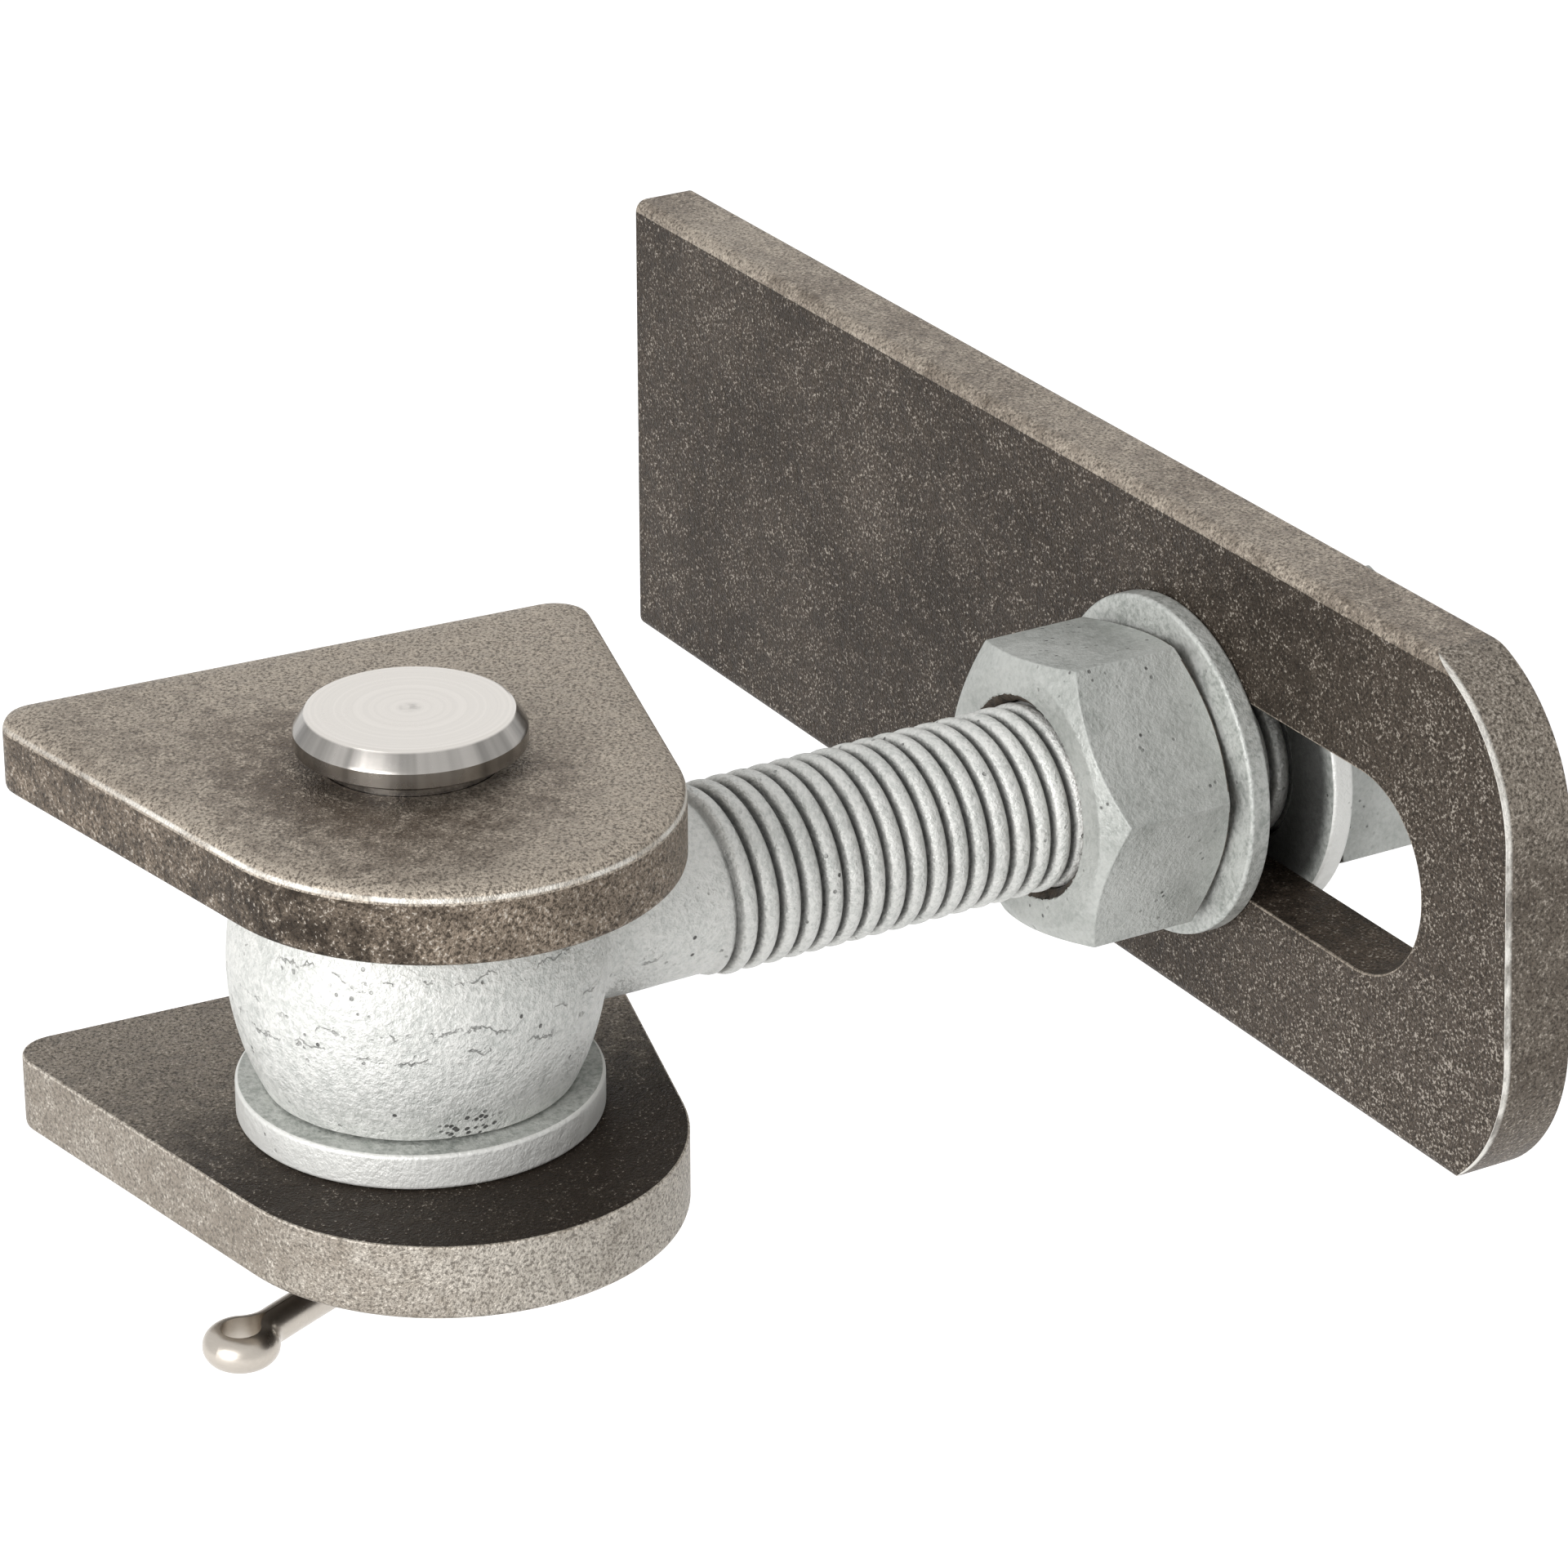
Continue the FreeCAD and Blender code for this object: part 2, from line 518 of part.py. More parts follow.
def add_plate_outline(sketch):
    """Outline of the plate: square end, long edges, and the punched end's two arcs and leaning line."""
    low = f"{PLATE_LIFT} + plate_rise - plate_height / 2"
    high = f"{PLATE_LIFT} + plate_rise + plate_height / 2"
    square_end = f"plate_length - {PLATE_TIP}"
    setback = f"({SLOT_RADIUS} + slot_margin - plate_corner_radius)"
    upper_x = f"-slot_outer_travel - ({setback} - sin(plate_end_lean) * {UPPER_CORNER}) / cos(plate_end_lean)"
    lower_x = f"-slot_outer_travel - ({setback} + sin(plate_end_lean) * {LOWER_CORNER}) / cos(plate_end_lean)"
    upper_y = f"{PLATE_LIFT} + {UPPER_CORNER}"
    lower_y = f"{PLATE_LIFT} - {LOWER_CORNER}"
    floor, roof, square = value_of(low), value_of(high), value_of(square_end)
    corner = value_of("plate_corner_radius")
    leave = math.pi - math.radians(value_of("plate_end_lean"))
    upper_start = math.pi - math.asin((roof - value_of(upper_y)) / corner)
    lower_stop = math.pi + math.asin((value_of(lower_y) - floor) / corner)
    upper = add_arc(sketch, value_of(upper_x), value_of(upper_y), corner, upper_start, leave)
    lower = add_arc(sketch, value_of(lower_x), value_of(lower_y), corner, leave, lower_stop)

    def on_arc(x, y, turn):
        return value_of(x) + corner * math.cos(turn), value_of(y) + corner * math.sin(turn)

    end = add_line(sketch, on_arc(upper_x, upper_y, leave), on_arc(lower_x, lower_y, leave))
    bottom = add_line(sketch, on_arc(lower_x, lower_y, lower_stop), (square, floor))
    back = add_line(sketch, (square, floor), (square, roof))
    top = add_line(sketch, (square, roof), on_arc(upper_x, upper_y, upper_start))
    constrain(sketch, "Tangent", upper, 2, end, 1)
    constrain(sketch, "Tangent", end, 2, lower, 1)
    constrain(sketch, "Coincident", lower, 2, bottom, 1)
    constrain(sketch, "Coincident", bottom, 2, back, 1)
    constrain(sketch, "Coincident", back, 2, top, 1)
    constrain(sketch, "Coincident", top, 2, upper, 1)
    constrain(sketch, "Horizontal", bottom)
    constrain(sketch, "Vertical", back)
    constrain(sketch, "Horizontal", top)
    constrain(sketch, "DistanceX", -1, 1, back, 1, size=square_end)
    constrain(sketch, "DistanceY", -1, 1, back, 1, size=low)
    constrain(sketch, "DistanceY", -1, 1, back, 2, size=high)
    constrain(sketch, "Radius", upper, size="plate_corner_radius")
    constrain(sketch, "DistanceX", -1, 1, upper, 3, size=upper_x)
    constrain(sketch, "DistanceY", -1, 1, upper, 3, size=upper_y)
    constrain(sketch, "DistanceX", -1, 1, lower, 3, size=lower_x)
    constrain(sketch, "DistanceY", -1, 1, lower, 3, size=lower_y)
    constrain(sketch, "Equal", upper, lower)


def make_pieces():
    """Every piece of the hinge, from the post to the gate."""
    spacer = new_body("spacer_washer", "ear_thickness / 2")
    washer_bore = "(thread_diameter + 2 * washer_play)"
    clamp_rings = (
        ("front_washer", "(plate_stand_off - washer_thickness)"),
        ("rear_washer", REAR_WASHER_FACE),
    )
    pieces = [
        make_ear("upper_ear", UPPER_EAR_BASE, "rolled_edge", "dressed_edge"),
        make_ear("lower_ear", "-ear_thickness / 2", "dressed_edge", "dressed_edge"),
        make_hinge_pin(),
        make_cotter_pin(),
        make_ring(spacer, "XY_Plane", "0", "spacer_diameter", PIN_BORE, "spacer_thickness"),
        make_eye_bolt(),
        make_nut("front_nut", FRONT_NUT_FACE, "front_nut_turn"),
        make_nut("rear_nut", REAR_NUT_FACE, "rear_nut_turn"),
        make_slot_plate(),
    ]
    for label, face in clamp_rings:
        body = bolt_body(label)
        pieces.append(make_ring(body, "YZ_Plane", face, "washer_diameter", washer_bore, "washer_thickness"))
    return pieces


def check(pieces):
    """Stop where an object failed or a piece is not one valid solid."""
    for item in doc.Objects:
        if "Invalid" in item.State or "Error" in item.State:
            raise RuntimeError(f"{item.Label} failed: {item.State}")
    for piece in pieces:
        shape = piece.Shape
        if shape.isNull() or not shape.isValid() or len(shape.Solids) != 1:
            raise RuntimeError(f"{piece.Label} is not one valid solid")


pieces = make_pieces()
doc.recompute()
check(pieces)
os.makedirs("parts", exist_ok=True)
for piece in pieces:
    piece.Shape.exportStep(f"parts/{piece.Label}.step")
    box = piece.Shape.optimalBoundingBox()
    print(
        f"{piece.Label}: {piece.Shape.Volume / 1000:.2f} cm3,"
        f" X {box.XMin:.2f} to {box.XMax:.2f}, Y {box.YMin:.2f} to {box.YMax:.2f},"
        f" Z {box.ZMin:.2f} to {box.ZMax:.2f}"
    )
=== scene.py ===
"""Looks of the adjustable gate hinge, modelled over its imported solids.

Raw mill-scale plates, a hot-dip galvanised eye bolt with its nuts and rings, a turned stainless pin and
its cotter, in a white studio seen from the photograph's angle.
"""

import json
import math
from contextlib import contextmanager

import bmesh
import bpy
from bpy.props import FloatProperty, FloatVectorProperty, PointerProperty
from mathutils import Matrix, Vector


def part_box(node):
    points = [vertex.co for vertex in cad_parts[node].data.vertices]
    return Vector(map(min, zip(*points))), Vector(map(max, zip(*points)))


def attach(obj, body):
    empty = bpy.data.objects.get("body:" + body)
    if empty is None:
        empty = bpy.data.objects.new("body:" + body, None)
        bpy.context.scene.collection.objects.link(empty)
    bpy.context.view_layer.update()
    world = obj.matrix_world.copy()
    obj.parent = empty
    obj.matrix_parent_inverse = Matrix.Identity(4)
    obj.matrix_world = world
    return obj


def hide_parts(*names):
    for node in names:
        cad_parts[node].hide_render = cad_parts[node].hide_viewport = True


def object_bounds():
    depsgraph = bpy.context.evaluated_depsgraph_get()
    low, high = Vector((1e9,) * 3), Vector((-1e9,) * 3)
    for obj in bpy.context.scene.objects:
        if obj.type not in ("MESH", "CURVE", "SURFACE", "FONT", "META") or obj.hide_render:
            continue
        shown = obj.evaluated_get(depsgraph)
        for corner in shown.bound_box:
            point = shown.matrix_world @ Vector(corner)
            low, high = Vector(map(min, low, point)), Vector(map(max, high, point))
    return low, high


bl_info = {
    "name": "Adjustable gate hinge",
    "version": (1, 0, 0),
    "blender": (4, 5, 0),
    "location": "3D View > Sidebar > Gate hinge",
    "description": "Dresses the packed gate hinge: raw plates, galvanised bolt, turned pin and studio",
    "category": "Object",
}

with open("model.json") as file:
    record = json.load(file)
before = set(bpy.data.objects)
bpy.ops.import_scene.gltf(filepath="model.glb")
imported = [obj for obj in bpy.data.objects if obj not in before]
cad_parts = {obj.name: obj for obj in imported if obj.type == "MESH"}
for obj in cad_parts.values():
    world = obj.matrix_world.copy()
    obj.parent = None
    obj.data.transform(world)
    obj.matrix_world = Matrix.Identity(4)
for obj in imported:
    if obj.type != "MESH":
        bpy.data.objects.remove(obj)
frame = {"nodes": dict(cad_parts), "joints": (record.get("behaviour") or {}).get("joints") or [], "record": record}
CAD_BOX = [list(corner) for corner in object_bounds()]

MM = 0.001
shift = Matrix.Translation
JOINTS = {joint["name"]: joint for joint in frame["joints"]}
PIN = Vector(JOINTS["hinge_swing"]["pos_m"])
BOLT_WAY = Vector(JOINTS["depth_adjust"]["axis"])
BOLT_TURN = math.atan2(BOLT_WAY.y, BOLT_WAY.x)
ON_PIN = shift((PIN.x, PIN.y, 0.0))
ON_BOLT = shift(PIN) @ Matrix.Rotation(BOLT_TURN, 4, "Z")
Z_TO_X = Matrix.Rotation(math.radians(90), 4, "Y")
XYZ_TO_YZX = Matrix(((0, 0, 1, 0), (1, 0, 0, 0), (0, 1, 0, 0), (0, 0, 0, 1)))
# Noise is read askew, so that a flat face shows no stripes
ASKEW = Matrix.Rotation(0.7, 4, "X") @ Matrix.Rotation(0.9, 4, "Z")
MERGE_DISTANCE = 1e-6
SHARP_TURN = 1.0
LAMP_SIZE = 0.6
OVERHEAD_PLACE = (0.0, 0.2, 0.8)
SIDE_PLACE = (-0.75, -0.42, 0.3)
FLOOR_SIZE = 8.0
SENSOR_WIDTH = 36.0


# Settings that a user would change

def amount(name, description, default, **kind):
    """Number setting, with a unit or subtype where one fits."""
    return FloatProperty(name=name, description=description, default=default, **kind)


def length(name, description, millimetres):
    """Length setting, with its default given in millimetres."""
    return amount(name, description, millimetres * MM, unit="LENGTH", precision=5)


def angle(name, description, degrees):
    """Angle setting, with its default given in degrees."""
    return amount(name, description, math.radians(degrees), subtype="ANGLE")


def colour(name, description, default):
    """Colour setting, as linear red, green and blue."""
    return FloatVectorProperty(
        name=name, description=description, default=default, subtype="COLOR", min=0, max=1,
    )


class HingeSizes(bpy.types.PropertyGroup):
    """Sizes of the modelled pieces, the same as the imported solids' where they show."""

    nose_radius: length("Nose radius", "Round nose of an ear", 24.0)
    nose_setback: length("Nose setback", "Centre of the nose in front of the pin", 6.5)
    ear_half_width: length("Ear half width", "Half of an ear's weld edge, to the sharp corner", 33.0)
    ear_corner: length("Ear corner", "Rounding of an ear's weld corners", 4.0)
    rim_drop: length("Rim drop", "How far the punch pulled the upper ear's rim down", 1.0)
    soft_rim: length("Soft rim", "Rounding of the upper ear's pulled rim", 0.8)
    crisp_rim: length("Crisp rim", "Worn sharp rim of a punched plate", 0.22)
    dressed_rim: length("Dressed rim", "Lightly broken lower rim", 0.6)
    bore_radius: length("Pin bore radius", "Bore of the ears, the eye and the spacer", 9.1)
    pin_radius: length("Pin radius", "Hinge pin", 9.0)
    head_rim: length("Head rim", "Straight rim of the pin head", 1.8)
    head_bevel: length("Head bevel", "Height of the bevel on the pin head", 1.8)
    head_bevel_width: length("Head bevel width", "Width of the bevel on the pin head", 1.35)
    pin_lift: length("Pin lift", "Pin head above the upper ear", 1.8)
    eye_radius: length("Eye radius", "Ball-shaped eye of the bolt at its equator", 18.9)
    eye_bow: length("Eye bow", "Radius of the eye's bulging side", 28.0)
    eye_softness: length("Eye softness", "Rounding of the eye's flats", 0.8)
    neck_radius: length("Neck radius", "Plain neck of the bolt", 9.3)
    neck_fillet: length("Neck fillet", "Hollow between the eye and the neck", 3.4)
    thread_radius: length("Thread radius", "Bolt thread, outside", 10.0)
    thread_depth: length("Thread depth", "Depth that the zinc leaves open", 1.1)
    thread_pitch: length("Thread pitch", "Distance between two turns", 2.5)
    thread_start: length("Thread start", "Pin axis to the first turn", 29.5)
    thread_fade: length("Thread fade", "Length over which the first turns rise", 2.6)
    bolt_end: length("Bolt end", "Pin axis to the end of the bolt", 122.5)
    nut_flats: length("Nut over flats", "Hexagon nut", 30.0)
    nut_height: length("Nut height", "Hexagon nut", 16.0)
    nut_crown: length("Nut crown", "Radius of the flat ring on a nut's face", 14.1)
    nut_bore: length("Nut bore radius", "Thread of a nut", 10.1)
    nut_softness: length("Nut softness", "Zinc rounding along a nut's edges", 0.8)
    ring_radius: length("Ring radius", "Washers and spacer, outside", 18.5)
    washer_bore: length("Washer bore radius", "Clamp washers, inside", 10.5)
    washer_thickness: length("Washer thickness", "Clamp washers", 2.5)
    ring_edge: length("Ring edge", "Rounded edges of washers and spacer", 0.45)
    ring_play: length("Ring play", "Room that lets a nut or the eye turn on a ring", 0.01)
    plate_stand_off: length("Plate stand-off", "Pin axis to the near face of the slotted plate", 90.0)
    plate_thickness: length("Plate thickness", "Slotted plate", 8.0)
    plate_length: length("Plate length", "Slotted plate, end to end", 173.0)
    plate_height: length("Plate height", "Slotted plate", 55.1)
    plate_corner: length("Plate corner", "Corners that the punch cut at the slotted end", 18.8)
    plate_lean: angle("Plate end lean", "Turn of the punched end from square", 4.1)
    plate_upper_bite: length("Upper bite", "Punch beyond the plate's upper edge", 0.65)
    plate_lower_bite: length("Lower bite", "Punch beyond the plate's lower edge", 3.65)
    plate_rim: length("Plate rim", "Worn bright rim of the plate's punched end", 0.75)
    plate_roll: length("Plate roll", "Soft rim along the plate's upper and lower edge", 1.4)
    plate_lift: length("Slot lift", "Middle of the slot above the bolt", 0.7)
    plate_rise: length("Plate rise", "Middle of the plate above the middle of the slot", 0.35)
    slot_radius: length("Slot radius", "Half of the slot's width", 11.0)
    slot_outer: length("Slot outer centre", "Bolt axis to the middle of the slot's outer end", 33.2)
    slot_inner: length("Slot inner centre", "Bolt axis to the middle of the slot's inner end", 6.8)
    slot_margin: length("Slot margin", "Rounded end of the plate to the slot", 13.9)
    front_nut_turn: angle("Front nut turn", "Corner of the front nut from the plate's long way", -9.0)
    rear_nut_turn: angle("Rear nut turn", "Corner of the rear nut from the plate's long way", 31.5)


class HingeColours(bpy.types.PropertyGroup):
    """Colours of the finishes."""

    scale_dark: colour("Scale dark", "Dark brown of raw plate", (0.036, 0.027, 0.020))
    scale_light: colour("Scale light", "Lighter brown of raw plate", (0.092, 0.073, 0.057))
    bare_dark: colour("Bare dark", "Brown of rubbed plate", (0.130, 0.100, 0.075))
    bare_light: colour("Bare light", "Warm grey of rubbed plate", (0.440, 0.383, 0.317))
    cut_light: colour("Cut light", "Freshly punched steel", (0.510, 0.470, 0.415))
    flank: colour("Flank", "Warm brown of a punched flank", (0.285, 0.230, 0.178))
    fleck: colour("Fleck", "Bright specks of raw plate", (0.500, 0.450, 0.390))
    # Bare steel of worn edges, also used for the painted highlight on the upper ear's rim and on the plate's
    # punched end
    worn: colour("Worn edge", "Bare steel along worn edges", (0.950, 0.920, 0.860))
    zinc_light: colour("Zinc light", "Pale tone of galvanised steel", (0.800, 0.800, 0.770))
    zinc_mid: colour("Zinc middle", "Middle tone of galvanised steel", (0.580, 0.592, 0.565))
    zinc_dark: colour("Zinc dark", "Grey tone of galvanised steel", (0.330, 0.348, 0.325))
    # Dark of the zinc's pits, also used for painted shade in the thread grooves, the nuts' gaps and on the rear
    # washer
    pits_and_shade: colour("Pit", "Dark pits and grooves in the zinc", (0.035, 0.034, 0.032))
    stainless: colour("Stainless", "Turned pin", (0.760, 0.725, 0.680))
    cotter: colour("Cotter", "Dull stainless of the cotter", (0.530, 0.485, 0.430))
    floor: colour("Floor", "Studio floor", (0.9, 0.9, 0.9))


class HingeStudio(bpy.types.PropertyGroup):
    """Camera, lamps and floor."""

    lens: amount("Lens", "Focal length in millimetres on a 36 mm frame", 133.68)
    aim: FloatVectorProperty(
        name="Aim", description="Point in the middle of the picture", default=(0.0539, -0.0056, 0.0174),
        subtype="TRANSLATION", unit="LENGTH",
    )
    distance: length("Camera distance", "Aim point to the camera", 620.0)
    azimuth: angle("Azimuth", "Camera turned from straight in front", -27.26)
    elevation: angle("Elevation", "Camera above the horizon", 24.59)
    floor_drop: length("Floor drop", "Floor below the lowest piece", 70.0)
    floor_glow: amount("Floor glow", "White that the camera adds to the floor", 0.66)
    overhead_watts: amount("Overhead lamp", "Power of the lamp above", 1.2, unit="POWER")
    side_watts: amount("Side lamp", "Power of the lamp at the left", 7.0, unit="POWER")
    room_light: amount("Room light", "Even light from all round", 0.36, min=0)


# Modelling helpers

def settings(context):
    """Sizes and colours that the user set."""
    return context.scene.hinge_sizes, context.scene.hinge_colours


def clear_selection():
    """Deselect every object."""
    bpy.ops.object.select_all(action="DESELECT")


def activate(piece):
    """Make one piece the only selected and active object."""
    clear_selection()
    piece.select_set(True)
    bpy.context.view_layer.objects.active = piece


@contextmanager
def editing(piece):
    """Edit mode on one piece, with nothing selected."""
    activate(piece)
    bpy.ops.object.mode_set(mode="EDIT")
    bpy.ops.mesh.select_all(action="DESELECT")
    yield
    bpy.ops.object.mode_set(mode="OBJECT")


def pick(piece, kind, test):
    """Select the edges or faces of the piece in edit mode that pass a test."""
    mesh = bmesh.from_edit_mesh(piece.data)
    mesh.select_mode = {{"edges": "EDGE", "faces": "FACE"}[kind]}
    for item in getattr(mesh, kind):
        item.select_set(test(item))
    mesh.select_flush_mode()
    bmesh.update_edit_mesh(piece.data)


def wire(name, points, closed=True):
    """New object with one line of straight edges."""
    mesh = bpy.data.meshes.new(name)
    edges = [(index, index + 1) for index in range(len(points) - 1)]
    if closed:
        edges.append((len(points) - 1, 0))
    mesh.from_pydata(points, edges, [])
    piece = bpy.data.objects.new(name, mesh)
    bpy.context.scene.collection.objects.link(piece)
    activate(piece)
    return piece


def modify(piece, kind, **options):
    """Add a modifier with its settings and apply it."""
    activate(piece)
    modifier = piece.modifiers.new(kind, kind)
    for name, value in options.items():
        setattr(modifier, name, value)
    bpy.ops.object.modifier_apply(modifier=modifier.name)


def close_up(piece):
    """Merge doubled vertices and point every face outwards."""
    with editing(piece):
        bpy.ops.mesh.select_all(action="SELECT")
        bpy.ops.mesh.remove_doubles(threshold=MERGE_DISTANCE)
        bpy.ops.mesh.normals_make_consistent(inside=False)


def arc(centre, radius, start, end, steps):
    """Points of an arc in the plane, from one angle to another."""
    angles = [start + (end - start) * step / steps for step in range(steps + 1)]
    return [(centre[0] + radius * math.cos(a), centre[1] + radius * math.sin(a)) for a in angles]


def turned(name, profile, closed=False, steps=144, **screw):
    """Turn a profile of radius and height round the Z axis, once unless the screw options say more."""
    piece = wire(name, [(radius, 0.0, height) for radius, height in profile], closed)
    options = screw or {"use_merge_vertices": True, "merge_threshold": MERGE_DISTANCE}
    modify(piece, "SCREW", axis="Z", angle=2 * math.pi, steps=steps, render_steps=steps, **options)
    close_up(piece)
    return piece


def drill(radius, low, high):
    """Cutter for a round hole along Z."""
    return turned("hole_cutter", ((0.0, low), (radius, low), (radius, high), (0.0, high)))


def slab(name, outline, low, high):
    """Fill an outline in the XY plane and extrude it upwards."""
    piece = wire(name, [(x, y, low) for x, y in outline])
    with editing(piece):
        bpy.ops.mesh.select_all(action="SELECT")
        bpy.ops.mesh.edge_face_add()
        bpy.ops.mesh.extrude_region_move(TRANSFORM_OT_translate={"value": (0, 0, high - low)})
    close_up(piece)
    return piece


def cut(piece, cutter, operation="DIFFERENCE"):
    """Cut a piece with another one, or join it on; the other one is used up."""
    modify(piece, "BOOLEAN", operation=operation, object=cutter, solver="EXACT")
    bpy.data.objects.remove(cutter)


def bevel(piece, width, segments, test, material=-1):
    """Round the edges that pass a test."""
    with editing(piece):
        pick(piece, "edges", test)
        bpy.ops.mesh.bevel(
            offset=width, segments=segments, affect="EDGES", material=material, clamp_overlap=True,
        )


def level(edge, height):
    """Whether both ends of an edge lie at one height."""
    return all(abs(vertex.co.z - height) < MERGE_DISTANCE for vertex in edge.verts)


def settle(piece, place):
    """Move a piece to its place and put the place into its mesh."""
    activate(piece)
    piece.matrix_world = place
    bpy.ops.object.transform_apply(location=True, rotation=True, scale=True)


def paint(piece, index, test):
    """Give the faces that pass a test one of the piece's finishes."""
    for face in piece.data.polygons:
        if test(face):
            face.material_index = index


def wear(piece, *finishes):
    """Give a piece its finishes, in the order of their indices."""
    for finish in finishes:
        piece.data.materials.append(finish)


def shade(piece, degrees):
    """Clean the mesh and shade it smooth, with its real edges and flat faces kept."""
    close_up(piece)
    activate(piece)
    bpy.ops.object.shade_smooth_by_angle(angle=math.radians(degrees))
    modify(piece, "WEIGHTED_NORMAL", keep_sharp=True, weight=60)


def hand_over(piece, node, place, degrees=32):
    """Shade a piece, put it in its place and let it stand for its solid and move with that body."""
    shade(piece, degrees)
    settle(piece, place)
    bodies = frame["record"]["behaviour"]["bodies"]
    body = next(name for name, nodes in bodies.items() if node in nodes)
    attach(piece, body)
    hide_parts(node)


# Finishes

class Nodes:
    """Nodes of a finish or of the room."""

    def __init__(self, tree):
        self.tree = tree

    def add(self, kind, **inputs):
        """New node; inputs are values or sockets, by their names with underscores."""
        node = self.tree.nodes.new(kind)
        for name, value in inputs.items():
            self.feed(node.inputs[name.replace("_", " ").title()], value)
        return node

    def feed(self, socket, value):
        """Link a socket to another one, or set its value."""
        if isinstance(value, bpy.types.NodeSocket):
            self.tree.links.new(value, socket)
        else:
            socket.default_value = value

    def calc(self, operation, *values):
        """Arithmetic on values, taken two at a time."""
        result = values[0]
        for value in values[1:] or (0.0,):
            node = self.tree.nodes.new("ShaderNodeMath")
            node.operation = operation
            self.feed(node.inputs[0], result)
            self.feed(node.inputs[1], value)
            result = node.outputs[0]
        return result

    def times(self, *values):
        """Product of values."""
        return self.calc("MULTIPLY", *values)

    def plus(self, *values):
        """Sum of values."""
        return self.calc("ADD", *values)

    def white_to_camera(self):
        """One for rays from the camera and for reflections and see-through of them, else nothing."""
        rays = self.add("ShaderNodeLightPath").outputs
        kinds = ("Camera", "Glossy", "Transmission")
        return self.calc("MAXIMUM", *[rays[f"Is {kind} Ray"] for kind in kinds])


class Finish(Nodes):
    """One procedural finish: its node tree, the piece's own coordinates and the main shader."""

    def __init__(self, name, metallic, roughness, gloss=0.5):
        self.material = bpy.data.materials.new(name)
        self.material.use_nodes = True
        super().__init__(self.material.node_tree)
        self.shader = self.tree.nodes["Principled BSDF"]
        self.shader.inputs["Metallic"].default_value = metallic
        self.shader.inputs["Roughness"].default_value = roughness
        self.shader.inputs["Specular IOR Level"].default_value = gloss
        self.place = self.add("ShaderNodeTexCoord").outputs["Object"]
        self.askew = self.moved(ASKEW)

    def noise(self, scale, detail=2.0, roughness=0.55, vector=None):
        """Cloudy value about a half; the scale is in features per metre."""
        node = self.add(
            "ShaderNodeTexNoise", vector=vector or self.askew, scale=scale,
            detail=detail, roughness=roughness,
        )
        return node.outputs["Fac"]

    def cells(self, scale):
        """Distance to the nearest of scattered points, and a random tone of each."""
        node = self.add("ShaderNodeTexVoronoi", vector=self.askew, scale=scale)
        tone = self.add("ShaderNodeSeparateColor", color=node.outputs["Color"])
        return node.outputs["Distance"], tone.outputs["Red"]

    def band(self, value, low, high, to_low=0.0, to_high=1.0):
        """Smooth step of a value from one level to another."""
        node = self.add(
            "ShaderNodeMapRange", value=value, from_min=low, from_max=high, to_min=to_low, to_max=to_high,
        )
        node.interpolation_type = "SMOOTHSTEP"
        return node.outputs["Result"]

    def share(self, value, swing):
        """A noise value about a half as a swing about nothing."""
        return self.times(self.calc("SUBTRACT", value, 0.5), swing)

    def blend(self, share, first, second):
        """Mix of two colours."""
        node = self.tree.nodes.new("ShaderNodeMix")
        node.data_type = "RGBA"
        self.feed(node.inputs[0], share)
        for socket, value in ((node.inputs[6], first), (node.inputs[7], second)):
            self.feed(socket, value if isinstance(value, bpy.types.NodeSocket) else (*value, 1.0))
        return node.outputs[2]

    def moved(self, place, scale=(1.0, 1.0, 1.0)):
        """The piece's coordinates seen from a place, such as a point on the bolt."""
        node = self.tree.nodes.new("ShaderNodeMapping")
        node.vector_type = "TEXTURE"
        self.feed(node.inputs["Vector"], self.place)
        node.inputs["Location"].default_value = place.to_translation()
        node.inputs["Rotation"].default_value = place.to_euler()
        node.inputs["Scale"].default_value = scale
        return node.outputs["Vector"]

    def seen_from(self, place):
        """X, Y and Z of the piece's coordinates, seen from a place."""
        node = self.add("ShaderNodeSeparateXYZ", vector=self.moved(place))
        return [node.outputs[axis] for axis in "XYZ"]

    def radius(self, first, second):
        """Distance from an axis, from the two coordinates across it."""
        squares = [self.times(part, part) for part in (first, second)]
        return self.calc("SQRT", self.plus(*squares))

    def mark(self, place, half_sizes):
        """Soft spot or streak round a place, one at its middle and nothing at its rim."""
        ball = self.add("ShaderNodeTexGradient", vector=self.moved(place, half_sizes))
        ball.gradient_type = "SPHERICAL"
        return ball.outputs["Fac"]

    def relief(self, height, distance, strength=1.0):
        """Bump from a height between nothing and one, its full rise given in metres."""
        node = self.add("ShaderNodeBump", height=height, distance=distance, strength=strength)
        return node.outputs["Normal"]

    def finish(self, base, normal=None, roughness=None):
        """Connect the results to the shader."""
        self.feed(self.shader.inputs["Base Color"], base)
        if normal:
            self.feed(self.shader.inputs["Normal"], normal)
        if roughness:
            self.feed(self.shader.inputs["Roughness"], roughness)
        return self.material


